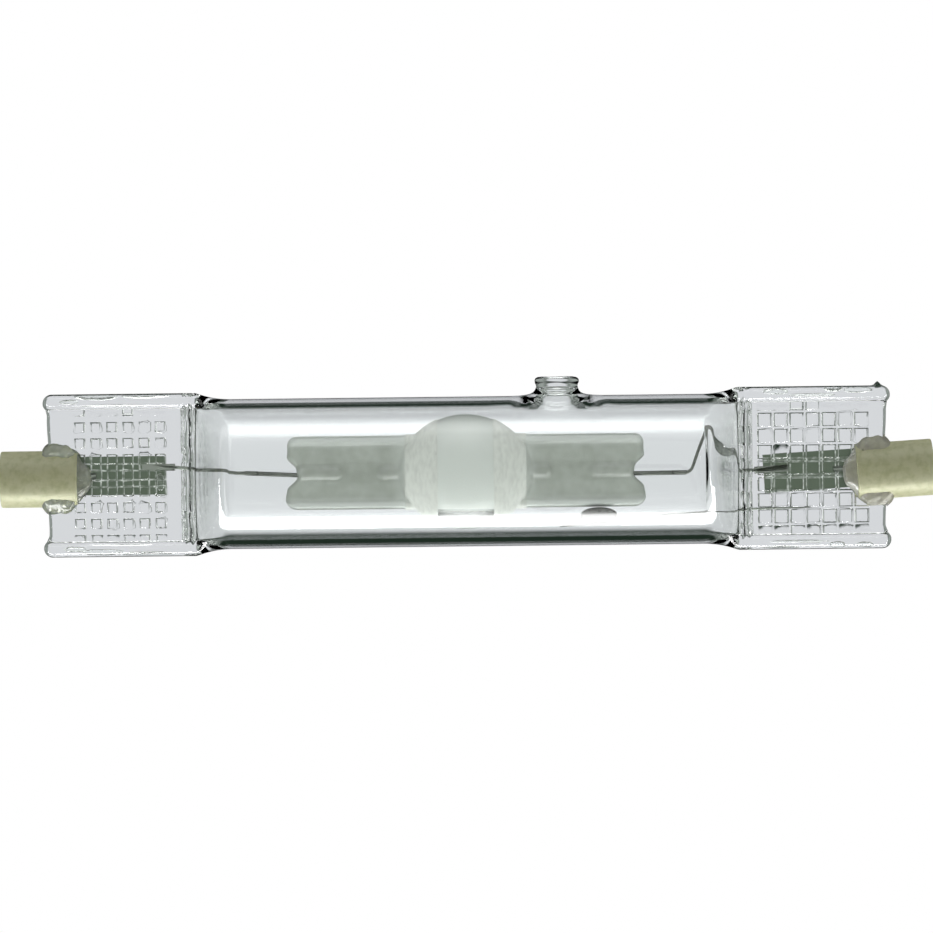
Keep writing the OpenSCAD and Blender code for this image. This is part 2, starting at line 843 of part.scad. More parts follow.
module left_electrode_rod() { in_arc_tube() mirror([1, 0, 0]) electrode_rod(); }

module right_electrode_rod() { in_arc_tube() electrode_rod(); }

// The close-wound coil as a revolved stack of turns
module electrode_coil() {
    pitch = coil_wire_d * 0.92;
    color("slategray")
    translate([arc_gap / 2 + coil_inset + coil_wire_d / 2, rod_y, 0])
        rotate([0, 90, 0])
            rotate_extrude()
                difference() {
                    for (i = [0:coil_turns - 1])
                        translate([rod_d / 2 + coil_wire_d * 0.45, i * pitch])
                            circle(d = coil_wire_d, $fn = 24);
                    translate([0, -coil_wire_d])
                        square([rod_d / 2, (coil_turns + 1) * coil_wire_d]);
                }
}

module left_electrode_coil() { in_arc_tube() mirror([1, 0, 0]) electrode_coil(); }

module right_electrode_coil() { in_arc_tube() electrode_coil(); }

// Fill

module mercury_bead() {
    color("silver")
    in_arc_tube()
        translate([0, 0, weld_gap + bead_d / 2 - cavity_r]) sphere(d = bead_d);
}

// Salt that has set as a thin film on the front of the bulb's floor
module halide_film() {
    top = -cavity_r * 0.75;
    half_l = clear_half - film_inset;
    color("darkslategray")
    in_arc_tube()
        intersection() {
            difference() {
                barrel(cavity_r - weld_gap);
                barrel(cavity_r - film_t);
            }
            translate([-half_l, -cavity_r, top - film_h])
                cube([2 * half_l, cavity_r, film_h]);
        }
}

// Getter

module in_getter_cup() {
    translate([middle + cup_shift, 0, jacket_rise - cup_drop])
        rotate([-cup_tilt, 0, 0]) children();
}

module getter_cup() {
    r = cup_d / 2;
    color("dimgray")
    in_getter_cup()
        rotate_extrude()
            polygon([
                [0, -cup_t / 2], [r * 0.85, -cup_t / 2], [r, 0], [r, cup_t / 2],
                [r - cup_sheet, cup_t / 2], [r - cup_sheet, cup_sheet / 3],
                [r * 0.82, cup_sheet - cup_t / 2], [0, cup_sheet - cup_t / 2]]);
}

// The wire lies under the rear of the cup, in the cup's own frame
getter_weld = [
    cup_d * 0.3,
    -cup_t / 2 - weld_gap - getter_wire_d / 2];
getter_y = getter_weld.x * cos(cup_tilt) + getter_weld.y * sin(cup_tilt);
getter_z = jacket_rise - cup_drop - getter_weld.x * sin(cup_tilt) + getter_weld.y * cos(cup_tilt);

module getter_wire() {
    cup_x = middle + cup_shift;
    root_z = jacket_rise - pinch_w / 2 + rim_w + getter_root_inset;
    color("gray")
    wire([
        [cup_x - cup_d / 2 - getter_tail, getter_y, getter_z - 0.25],
        [cup_x - cup_d / 2 - 0.2, getter_y, getter_z],
        [cup_x + cup_d / 2 + 0.3, getter_y, getter_z],
        [cup_x + cup_d / 2 + getter_climb_l, getter_y * 0.6, getter_z + getter_climb_h],
        [contact_span - shoulder_end + 0.5, 0, root_z - 0.6],
        [contact_span - field_end, 0, root_z - 0.2],
        [contact_span - field_end + getter_root, 0, root_z]], getter_wire_d);
}

jacket();
left_cap();
right_cap();
left_contact();
right_contact();
left_cement();
right_cement();
left_foil();
right_foil();
left_cap_lead();
right_cap_lead();
left_support_lead();
right_support_lead();
arc_tube();
left_heat_coat();
right_heat_coat();
left_arc_foil();
right_arc_foil();
left_arc_lead();
right_arc_lead();
left_electrode_rod();
right_electrode_rod();
left_electrode_coil();
right_electrode_coil();
mercury_bead();
halide_film();
getter_cup();
getter_wire();
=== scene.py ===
"""Double-ended discharge lamp: the looks of its glass, wires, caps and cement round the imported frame.

X runs along the lamp, from the face of the left contact. Z lies in the flat of the pinches,
towards the exhaust tip. The front of the lamp looks towards -Y.
"""

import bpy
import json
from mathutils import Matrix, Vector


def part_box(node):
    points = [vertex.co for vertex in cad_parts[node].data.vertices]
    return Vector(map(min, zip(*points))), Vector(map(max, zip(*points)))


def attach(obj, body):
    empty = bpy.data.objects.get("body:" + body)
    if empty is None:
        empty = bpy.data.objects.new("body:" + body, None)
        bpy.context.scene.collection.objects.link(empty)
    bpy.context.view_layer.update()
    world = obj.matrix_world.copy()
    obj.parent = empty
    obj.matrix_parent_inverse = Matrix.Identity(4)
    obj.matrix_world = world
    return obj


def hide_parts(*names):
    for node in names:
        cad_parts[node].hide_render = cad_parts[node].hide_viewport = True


bl_info = {
    "name": "Double-Ended Discharge Lamp",
    "version": (1, 0, 0),
    "blender": (4, 5, 0),
    "location": "View3D > Sidebar > Lamp",
    "description": "Models and finishes a quartz discharge lamp on its frame",
    "category": "Object",
}

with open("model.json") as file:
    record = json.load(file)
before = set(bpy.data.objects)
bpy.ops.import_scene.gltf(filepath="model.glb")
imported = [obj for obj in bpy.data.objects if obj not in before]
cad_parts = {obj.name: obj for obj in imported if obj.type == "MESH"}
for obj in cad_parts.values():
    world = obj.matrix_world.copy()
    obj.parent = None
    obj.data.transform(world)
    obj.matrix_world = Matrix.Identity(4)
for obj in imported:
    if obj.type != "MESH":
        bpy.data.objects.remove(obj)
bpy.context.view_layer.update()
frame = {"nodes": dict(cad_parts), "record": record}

import json
import math

import bmesh
import bpy
import numpy as np
from bpy.props import FloatProperty, FloatVectorProperty, IntProperty, PointerProperty
from mathutils import Matrix, Vector, noise

MM = 0.001
MOUNTS = {mount["name"]: mount for mount in frame["record"]["mounts"]}

# Places that the frame gives
ARC_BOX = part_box("arc_tube")
JACKET_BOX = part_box("jacket")
CAP_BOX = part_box("left_cap")
CONTACT_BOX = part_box("left_contact")
CEMENT_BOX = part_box("left_cement")
COAT_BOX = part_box("right_heat_coat")
AXIS_Z = (ARC_BOX[0].z + ARC_BOX[1].z) / 2
TUBE_R = JACKET_BOX[1].y
TIP_TOP = JACKET_BOX[1].z - AXIS_Z
PINCH_HALF = AXIS_Z - JACKET_BOX[0].z
ARC_MIDDLE = (ARC_BOX[0].x + ARC_BOX[1].x) / 2
ARC_REACH = (ARC_BOX[1].x - ARC_BOX[0].x) / 2
BULB_R = ARC_BOX[1].z - AXIS_Z
RIGHT_FACE = Vector(MOUNTS["right_contact_recess"]["pos_m"])
RIGHT_AXIS = Vector(MOUNTS["right_contact_recess"]["axis"])
SPAN = RIGHT_FACE.x
RIGHT_TILT = math.atan2(RIGHT_AXIS.z, RIGHT_AXIS.x)


def linear(code):
    """An sRGB hex colour as the linear colour that a socket takes."""
    parts = [int(code[i:i + 2], 16) / 255 for i in (1, 3, 5)]
    return [c / 12.92 if c <= 0.04045 else ((c + 0.055) / 1.055) ** 2.4 for c in parts]


def length(name, about, default):
    return FloatProperty(name=name, description=about, default=default * MM, unit="LENGTH")


def colour(name, about, code):
    return FloatVectorProperty(name=name, description=about, default=linear(code),
                               subtype="COLOR", size=3, min=0, max=1)


class JacketSizes(bpy.types.PropertyGroup):
    """Sizes of the outer quartz jacket."""

    wall: length("Wall", "Wall of the round tube", 1.25)
    inset: length("Pinch inset", "From a contact's face to the end of its pinch", 5.1)
    field: length("Field", "Length of the flat field of a pinch", 19.5)
    ridge: length("Ridge", "Width of the ridge squeezed up beside the field", 1.9)
    ridge_height: length("Ridge height", "Height of the ridge over the field", 0.72)
    shoulder: length("Shoulder", "Length of the shoulder up to the round tube", 5.3)
    web: length("Web", "Thickness of the web", 3.0)
    rim: length("Rim", "Width of a rim", 2.3)
    rim_thickness: length("Rim thickness", "Thickness of a rim", 4.6)
    rim_proud: length("Rim end", "How far the rims stand out past the web", 0.7)
    pad_pitch: length("Pad pitch", "Spacing of the pads that the pinch jaws leave", 2.34)
    pad_height: length("Pad height", "Height of a pad", 0.2)
    pad_edge: length("Pad edge", "Width of the slope round a pad", 0.12)
    pad_wear: FloatProperty(name="Pad wear", description="How unevenly the pads are pressed",
                            default=0.7)
    left_pad: length("Left pad", "Side of a pad on the left pinch", 1.35)
    right_pad: length("Right pad", "Side of a pad on the right pinch", 1.9)
    left_start: length("Left pads", "From the left contact to the first column", 9.76)
    right_start: length("Right pads", "From the right contact to the first column", 8.66)
    left_columns: IntProperty(name="Left columns", description="Columns of pads", default=6)
    right_columns: IntProperty(name="Right columns", description="Columns of pads", default=7)
    tip_shift: length("Tip place", "From the middle of the lamp to the exhaust tip", 13.2)
    tip_radius: length("Tip radius", "Radius of the exhaust tip", 3.2)
    sink_depth: length("Sink depth", "Depth of the sink mark on the right shoulder", 0.45)
    sink_height: length("Sink height", "Height of the sink mark", 9.0)
    sink_length: length("Sink length", "Length of the sink mark", 4.0)
    nib_inset: length("Nib place", "From the right contact to the nib", 6.2)
    nib_height: length("Nib height", "Height of the nib over its rim", 0.62)
    slit: length("Slit", "Half thickness of the slit where the hollow ends", 0.22)


class ArcTubeSizes(bpy.types.PropertyGroup):
    """Sizes of the frosted arc tube."""

    wall: length("Wall", "Wall of the bulb", 1.2)
    barrel_drop: length("Barrel drop", "How far the barrel curve's centre lies past the axis", 1.95)
    step: length("Bulb step", "How far the bulb stands out past the rails", 3.0)
    web: length("Web", "Thickness of the web of a pinch", 2.6)
    rail: length("Rail", "Width of a rail", 1.5)
    rail_thickness: length("Rail thickness", "Thickness of a rail", 3.7)
    rail_proud: length("Rail end", "How far the rails stand out past the web", 1.6)
    rib_radius: length("Rib radius", "Radius of the ribs over leads and electrodes", 1.05)
    rib_sink: length("Rib sink", "Depth of a rib's axis under the face of the web", 0.35)
    lead_rib: length("Lead rib", "Length of the rib over a lead", 6.9)
    rod_rib: length("Electrode rib", "How far the rib over an electrode leaves the coat", 3.9)
    coat: length("Coat", "Thickness of a heat coat", 0.12)
    pool: length("Pool", "From the bulb's axis down to the top of the set salt", 5.15)
    strip: length("Clear strip", "Height of the clear strip that shows the salt", 1.15)


class CapSizes(bpy.types.PropertyGroup):
    """Sizes of the ceramic caps, their contacts and their cement."""

    recess_radius: length("Recess radius", "Radius of the recess before a contact", 2.5)
    head_radius: length("Head radius", "Radius of a contact's head", 2.2)
    head: length("Head", "Thickness of a contact's head", 1.0)
    dish: length("Dish", "Depth of the dish in a contact's face", 0.25)
    shank_radius: length("Shank radius", "Radius of a contact's shank", 1.0)
    edge: length("Edge", "Round of a cap's outer edge", 0.22)
    slot: length("Slot", "Gap on each side of the web in a cap's slot", 0.15)
    cement_thickness: length("Cement thickness", "Cement over both faces of a pinch", 6.2)


class Colours(bpy.types.PropertyGroup):
    """Colours of the finishes, as they look in even light."""

    quartz: colour("Clear quartz", "Tint of the jacket", "#FCFEFD")
    # The frosted tint also paints the highlight along the inner half of the arc tube's rails.
    frosted: colour("Frosted quartz", "Tint of the bulb", "#F1F5F1")
    frosted_pinch: colour("Frosted pinch", "Tint of the arc tube's pinches", "#B8BEB4")
    coat: colour("Heat coat", "White coat on the ends of the bulb", "#EDEFEA")
    ceramic: colour("Ceramic", "Body of the caps", "#E4E5BC")
    ceramic_shade: colour("Ceramic shade", "Darker mottle of the caps", "#D2D5A4")
    left_cement: colour("Left cement", "Glassy cement on the left pinch", "#F4F8EC")
    right_cement: colour("Right cement", "Chalky cement on the right pinch", "#EFEEDE")
    foil: colour("Foil", "Etched molybdenum foil", "#667063")
    arc_foil: colour("Arc tube foil", "Bright molybdenum foil under the frost", "#C6CCC4")
    lead: colour("Lead", "Drawn molybdenum wire", "#5C5F5A")
    held_lead: colour("Held lead", "The same wire where a pinch holds it", "#8E938C")
    nickel: colour("Nickel", "Plated contact", "#C9C4B6")
    tungsten: colour("Tungsten", "Sintered tungsten", "#77787A")
    mercury: colour("Mercury", "Liquid metal bead", "#D9DADC")
    salt: colour("Salt", "Set halide salt", "#2C3A3D")
    getter: colour("Getter", "Sintered getter in its steel cup", "#34382F")
    floor: colour("Floor", "Pale table under the lamp", "#FFFFFF")


class StageSettings(bpy.types.PropertyGroup):
    """Camera, light and floor."""

    distance: FloatProperty(name="Distance", description="From the camera to the lamp",
                            default=0.83, unit="LENGTH")
    view_width: length("View width", "Width of the picture where the lamp is", 135.69)
    centre_x: length("Centre X", "Middle of the picture along the lamp", 65.94)
    centre_z: length("Centre Z", "Middle of the picture over the jacket's axis", 0.72)
    roll: FloatProperty(name="Roll", description="How far the lamp rises to the right",
                        default=math.radians(0.65), subtype="ANGLE")
    floor_drop: length("Floor", "From the lamp's axis down to the floor", 120)


SIZES = {
    "jacket": JacketSizes,
    "arc_tube": ArcTubeSizes,
    "caps": CapSizes,
    "colours": Colours,
    "stage": StageSettings,
}


def settings(group):
    return getattr(bpy.context.scene, "lamp_" + group)


# Helpers for modelling

def deselect():
    if bpy.context.object and bpy.context.object.mode != "OBJECT":
        bpy.ops.object.mode_set(mode="OBJECT")
    bpy.ops.object.select_all(action="DESELECT")


def take(*pieces):
    """Selects these pieces alone and makes the first one active."""
    deselect()
    for piece in pieces:
        piece.select_set(True)
    bpy.context.view_layer.objects.active = pieces[0]
    return pieces[0]


def named(name):
    piece = bpy.context.object
    piece.name = name
    piece.data.name = name
    return piece


def settle(piece):
    """Moves a piece's place into its mesh."""
    take(piece)
    bpy.ops.object.transform_apply(location=True, rotation=True, scale=True)
    return piece


def tidy_faces(piece, inside=False, merge=1e-7):
    """Merges doubled points and turns all faces outwards, or inwards round a hollow."""
    take(piece)
    bpy.ops.object.mode_set(mode="EDIT")
    bpy.ops.mesh.select_all(action="SELECT")
    bpy.ops.mesh.remove_doubles(threshold=merge)
    bpy.ops.mesh.normals_make_consistent(inside=inside)
    turned_in = bmesh.from_edit_mesh(piece.data).calc_volume(signed=True) < 0
    if turned_in != inside:
        bpy.ops.mesh.flip_normals()
    bpy.ops.object.mode_set(mode="OBJECT")
    return piece


def apply_modifier(piece, kind, **values):
    take(piece)
    modifier = piece.modifiers.new(kind.title(), kind)
    for key, value in values.items():
        setattr(modifier, key, value)
    bpy.ops.object.modifier_apply(modifier=modifier.name)


def cut(piece, tool, **values):
    """Takes the tool's shape out of the piece."""
    apply_modifier(piece, "BOOLEAN", operation="DIFFERENCE", object=tool, solver="EXACT",
                   **values)
    bpy.data.objects.remove(tool)


def smooth(piece, angle=35):
    take(piece)
    bpy.ops.object.shade_smooth_by_angle(angle=math.radians(angle))
    return piece


def rolled_skin(name, rings):
    """A flat grid rolled round the X axis: rings[i, j] is point j of ring i."""
    count, around = rings.shape[:2]
    deselect()
    bpy.ops.mesh.primitive_grid_add(x_subdivisions=count - 1, y_subdivisions=around, size=2)
    skin = named(name)
    flat = np.empty(len(skin.data.vertices) * 3)
    skin.data.vertices.foreach_get("co", flat)
    flat = flat.reshape(-1, 3)
    i = np.rint((flat[:, 0] + 1) / 2 * (count - 1)).astype(int)
    j = np.rint((flat[:, 1] + 1) / 2 * around).astype(int) % around
    skin.data.vertices.foreach_set("co", rings[i, j].ravel())
    skin.data.update()
    return skin


def spun(name, profile, steps=96):
    """A closed outline of [x, radius] points spun round the X axis."""
    deselect()
    bpy.ops.mesh.primitive_plane_add(size=1 * MM)
    turned = named(name)
    bpy.ops.object.mode_set(mode="EDIT")
    bpy.ops.mesh.delete(type="VERT")
    shape = bmesh.from_edit_mesh(turned.data)
    points = [shape.verts.new((x, 0, r)) for x, r in profile]
    for a, b in zip(points, points[1:]):
        shape.edges.new((a, b))
    bmesh.update_edit_mesh(turned.data)
    bpy.ops.mesh.select_all(action="SELECT")
    bpy.ops.mesh.spin(steps=steps, angle=math.tau, center=(0, 0, 0), axis=(1, 0, 0))
    return tidy_faces(turned)


def lift_loop(skin, inside, rules):
    """Deletes a patch of a closed skin and draws its open edge through a row of loops to a point."""
    take(skin)
    bpy.ops.object.mode_set(mode="EDIT")
    bpy.ops.mesh.select_mode(type="FACE")
    bpy.ops.mesh.select_all(action="DESELECT")
    shape = bmesh.from_edit_mesh(skin.data)
    for face in shape.faces:
        face.select = inside(face.calc_center_median())
    bmesh.update_edit_mesh(skin.data)
    bpy.ops.mesh.delete(type="FACE")
    bpy.ops.mesh.select_mode(type="EDGE")
    bpy.ops.mesh.select_non_manifold(extend=False)
    for rule in rules:
        bpy.ops.mesh.extrude_edges_move()
        shape = bmesh.from_edit_mesh(skin.data)
        for v in shape.verts:
            if v.select:
                v.co = rule(v.co)
        bmesh.update_edit_mesh(skin.data)
    bpy.ops.mesh.merge(type="CENTER")
    bpy.ops.mesh.select_mode(type="VERT")
    bpy.ops.object.mode_set(mode="OBJECT")


def dress(piece, slot, *nodes):
    """Lets a finished piece ride with the lamp in the place of its CAD nodes."""
    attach(piece, "root")
    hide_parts(*nodes)
    return piece


def coat_with(piece, material):
    piece.data.materials.clear()
    piece.data.materials.append(material)
    return piece


def eased(t):
    t = np.clip(t, 0, 1)
    return t * t * (3 - 2 * t)


def soft_max(a, b, blend):
    """The larger of two heights, with a fillet where they meet."""
    return (a + b + np.sqrt((a - b) ** 2 + blend ** 2)) / 2


def roughen(points, size, height, seed):
    """Smooth random heights at an array of points, size apart and up to height."""
    flat = points.reshape(-1, 3) / size + seed
    return np.array([noise.noise(p) for p in flat]).reshape(points.shape[:-1]) * height


# Helpers for materials

def add_node(tree, kind, inputs=None, **values):
    """Adds a node with its own settings; an input is a value, or a socket to link from."""
    node = tree.nodes.new(kind)
    for key, value in values.items():
        setattr(node, key, value)
    for key, value in (inputs or {}).items():
        if isinstance(value, bpy.types.NodeSocket):
            tree.links.new(value, node.inputs[key])
        else:
            node.inputs[key].default_value = value
    return node


def new_material(name, base, **inputs):
    """A material with its shader's constant values set on the shader's own sockets."""
    material = bpy.data.materials.new(name)
    material.use_nodes = True
    material.diffuse_color = (*base, 1)
    shader = material.node_tree.nodes["Principled BSDF"]
    shader.inputs["Base Color"].default_value = (*base, 1)
    for key, value in inputs.items():
        shader.inputs[key.replace("_", " ")].default_value = value
    return material, material.node_tree, shader


def grain(tree, size, detail=2.0, stretch=(1, 1, 1)):
    """Noise whose features are about the given size, on the piece's own coordinates."""
    place = add_node(tree, "ShaderNodeTexCoord")
    scaled = add_node(tree, "ShaderNodeMapping",
                      {"Vector": place.outputs["Object"], "Scale": stretch})
    return add_node(tree, "ShaderNodeTexNoise",
                    {"Vector": scaled.outputs["Vector"], "Scale": 1 / size, "Detail": detail})


def bump(tree, shader, height, depth, strength=1.0):
    node = add_node(tree, "ShaderNodeBump",
                    {"Height": height, "Distance": depth, "Strength": strength})
    tree.links.new(node.outputs["Normal"], shader.inputs["Normal"])
    return node


def mottle(tree, shader, noise_node, low, high, start=0.4, end=0.6):
    """Lets the base colour wander between two colours with a noise."""
    ramp = add_node(tree, "ShaderNodeValToRGB", {"Fac": noise_node.outputs[0]})
    ramp.color_ramp.elements[0].position = start
    ramp.color_ramp.elements[0].color = (*low, 1)
    ramp.color_ramp.elements[1].position = end
    ramp.color_ramp.elements[1].color = (*high, 1)
    tree.links.new(ramp.outputs["Color"], shader.inputs["Base Color"])


def shaded(base, share):
    return tuple(c * share for c in base)


def fused_quartz():
    """Fused quartz, drawn as tube and pressed hot: dead smooth on the tube, crazed on the pinches."""
    sizes = settings("jacket")
    material, tree, shader = new_material(
        "Fused quartz", settings("colours").quartz,
        Roughness=0.0, IOR=1.458, Transmission_Weight=1.0)
    place = add_node(tree, "ShaderNodeTexCoord")
    split = add_node(tree, "ShaderNodeSeparateXYZ", {"Vector": place.outputs["Object"]})
    from_middle = add_node(tree, "ShaderNodeMath", {0: split.outputs["X"], 1: SPAN / 2},
                           operation="SUBTRACT")
    away = add_node(tree, "ShaderNodeMath", {0: from_middle.outputs[0]}, operation="ABSOLUTE")
    field_end = SPAN / 2 - sizes.inset - sizes.field
    pressed = add_node(tree, "ShaderNodeMapRange", {
        "Value": away.outputs[0], "From Min": field_end - sizes.ridge - 0.5 * MM,
        "From Max": field_end - sizes.ridge + 0.5 * MM})
    crazed = grain(tree, 0.45 * MM, detail=3)
    height = add_node(tree, "ShaderNodeMath", {0: crazed.outputs["Fac"], 1: pressed.outputs[0]},
                      operation="MULTIPLY")
    bump(tree, shader, height.outputs[0], 0.02 * MM)
    return material


def frosted_quartz():
    """Quartz sand-blasted and fired: a white, satin tooth that hides what lies under it."""
    sizes = settings("arc_tube")
    colours = settings("colours")
    material, tree, shader = new_material("Frosted quartz", colours.frosted, Roughness=0.42,
                                          IOR=1.458, Coat_Weight=0.8, Coat_Roughness=0.13)
    place = add_node(tree, "ShaderNodeTexCoord")
    from_middle = add_node(tree, "ShaderNodeVectorMath", {
        0: place.outputs["Object"], 1: (ARC_MIDDLE, 0, AXIS_Z)}, operation="SUBTRACT")
    off = add_node(tree, "ShaderNodeVectorMath", {0: from_middle.outputs[0]},
                   operation="ABSOLUTE")
    away = add_node(tree, "ShaderNodeSeparateXYZ", {"Vector": off.outputs[0]})
    height = add_node(tree, "ShaderNodeSeparateXYZ", {"Vector": from_middle.outputs[0]})

    def share(value, start, end, low=0.0, high=1.0):
        return add_node(tree, "ShaderNodeMapRange", {
            "Value": value, "From Min": start, "From Max": end,
            "To Min": low, "To Max": high}).outputs[0]

    def mixed(factor, low, high, **kind):
        kinds = {"Factor": factor, "A": low, "B": high}
        if kind:
            node = add_node(tree, "ShaderNodeMix", **kind)
            tree.links.new(factor, node.inputs[0])
            node.inputs[6].default_value = low
            node.inputs[7].default_value = high
            return node.outputs[2]
        return add_node(tree, "ShaderNodeMix", kinds).outputs["Result"]

    on_pinch = share(away.outputs["X"], BULB_R - 0.5 * MM, BULB_R + 2.5 * MM)
    # The web and the outer part of each rail take the darker pinch tint. A band along the inner half of
    # each rail keeps the light frosted tint: a painted highlight where the rails catch the light.
    rail = BULB_R - sizes.step - sizes.rail / 2
    inside_of_painted_rail_highlight = share(away.outputs["Z"], rail - sizes.rail * 0.8, rail, 1.0, 0.05)
    outside_of_painted_rail_highlight = share(away.outputs["Z"], rail + sizes.rail * 0.2, rail + sizes.rail * 0.4, 0.0, 0.8)
    shade = add_node(tree, "ShaderNodeMath", {0: inside_of_painted_rail_highlight, 1: outside_of_painted_rail_highlight}, operation="MAXIMUM")
    dark = add_node(tree, "ShaderNodeMath", {0: on_pinch, 1: shade.outputs[0]},
                    operation="MULTIPLY")
    cloud = grain(tree, 1.6 * MM, detail=5)
    patchy = add_node(tree, "ShaderNodeMath", {
        0: dark.outputs[0], 1: share(cloud.outputs["Fac"], 0.35, 0.65, 0.75, 1.0)},
        operation="MULTIPLY")
    base = mixed(patchy.outputs[0], (*colours.frosted, 1), (*colours.frosted_pinch, 1),
                 data_type="RGBA")
    tree.links.new(base, shader.inputs["Base Color"])
    in_pool = share(height.outputs["Z"], -sizes.pool - 0.3 * MM, -sizes.pool, 0.85, 0.0)
    near_pool = share(away.outputs["X"], BULB_R * 0.49, BULB_R * 0.5, 1.0, 0.0)
    strip_end = -sizes.pool - sizes.strip
    in_strip = share(height.outputs["Z"], strip_end - 0.2 * MM, strip_end, 0.0, 1.0)
    seen = add_node(tree, "ShaderNodeMath", {0: near_pool, 1: in_strip}, operation="MULTIPLY")
    pool = add_node(tree, "ShaderNodeMath", {0: in_pool, 1: seen.outputs[0]},
                    operation="MULTIPLY")
    frost = mixed(on_pinch, 0.12, 0.42)
    clear = add_node(tree, "ShaderNodeMath", {0: frost, 1: pool.outputs[0]}, operation="MAXIMUM")
    tree.links.new(clear.outputs[0], shader.inputs["Transmission Weight"])
    tree.links.new(share(pool.outputs[0], 0.0, 0.85, 0.42, 0.08), shader.inputs["Roughness"])
    tooth = grain(tree, 0.25 * MM, detail=4)
    bump(tree, shader, tooth.outputs["Fac"], 0.03 * MM)
    return material


def zirconia_coat():
    """Painted zirconia: a dull white powder coat, thin enough to show brush marks."""
    base = tuple(settings("colours").coat)
    material, tree, shader = new_material("Zirconia coat", base, Roughness=0.9)
    shader.inputs["Subsurface Weight"].default_value = 0.25
    shader.inputs["Subsurface Radius"].default_value = (0.4 * MM, 0.4 * MM, 0.4 * MM)
    strokes = grain(tree, 1.2 * MM, detail=4, stretch=(2.5, 1, 1))
    mottle(tree, shader, strokes, shaded(base, 0.86), base, 0.3, 0.6)
    bump(tree, shader, strokes.outputs["Fac"], 0.03 * MM)
    return material


def steatite():
    """Unglazed steatite: a pressed and fired body, dense, faintly speckled and satin."""
    colours = settings("colours")
    material, tree, shader = new_material("Steatite", tuple(colours.ceramic),
                                          Roughness=0.42, IOR=1.55)
    shader.inputs["Subsurface Weight"].default_value = 0.2
    shader.inputs["Subsurface Radius"].default_value = (0.5 * MM, 0.45 * MM, 0.3 * MM)
    cloud = grain(tree, 0.9 * MM, detail=5)
    mottle(tree, shader, cloud, tuple(colours.ceramic_shade), tuple(colours.ceramic), 0.3, 0.55)
    grit = grain(tree, 0.18 * MM, detail=2)
    bump(tree, shader, grit.outputs["Fac"], 0.014 * MM)
    return material


def silicate_cement(name, base, glassy, roughness):
    """Lamp cement: sodium silicate and filler, dried to a lumpy, half glassy skin."""
    base = tuple(base)
    material, tree, shader = new_material(name, base, Roughness=roughness, IOR=1.45,
                                          Transmission_Weight=glassy)
    shader.inputs["Subsurface Weight"].default_value = 0.3
    shader.inputs["Subsurface Radius"].default_value = (0.8 * MM, 0.8 * MM, 0.6 * MM)
    lumps = grain(tree, 0.7 * MM, detail=5)
    mottle(tree, shader, lumps, shaded(base, 0.82), base, 0.35, 0.6)
    bump(tree, shader, lumps.outputs["Fac"], 0.08 * MM)
    return material


def molybdenum(name, base, roughness, size, depth, stretch):
    """Molybdenum, rolled or drawn: grey metal with marks along its length."""
    base = tuple(base)
    material, tree, shader = new_material(name, base, Metallic=1.0, Roughness=roughness)
    marks = grain(tree, size, detail=3, stretch=stretch)
    mottle(tree, shader, marks, shaded(base, 0.7), base, 0.35, 0.65)
    bump(tree, shader, marks.outputs["Fac"], depth)
    return material


def pinched_wire():
    """Drawn molybdenum wire: dark with oxide in the tube, and bright where the pinches hold it."""
    sizes = settings("jacket")
    colours = settings("colours")
    material, tree, shader = new_material("Molybdenum wire", tuple(colours.lead), Metallic=1.0,
                                          Roughness=0.3)
    place = add_node(tree, "ShaderNodeTexCoord")
    split = add_node(tree, "ShaderNodeSeparateXYZ", {"Vector": place.outputs["Object"]})
    from_middle = add_node(tree, "ShaderNodeMath", {0: split.outputs["X"], 1: SPAN / 2},
                           operation="SUBTRACT")
    away = add_node(tree, "ShaderNodeMath", {0: from_middle.outputs[0]}, operation="ABSOLUTE")
    field_end = SPAN / 2 - sizes.inset - sizes.field
    held = add_node(tree, "ShaderNodeMapRange", {
        "Value": away.outputs[0], "From Min": field_end - 1.0 * MM, "From Max": field_end})
    marks = grain(tree, 0.12 * MM, detail=3, stretch=(0.15, 1, 1))
    bright = add_node(tree, "ShaderNodeMath", {0: held.outputs[0], 1: marks.outputs["Fac"]},
                      operation="ADD")
    mottle(tree, shader, bright, tuple(colours.lead), tuple(colours.held_lead), 0.55, 0.95)
    bump(tree, shader, marks.outputs["Fac"], 0.006 * MM)
    return material


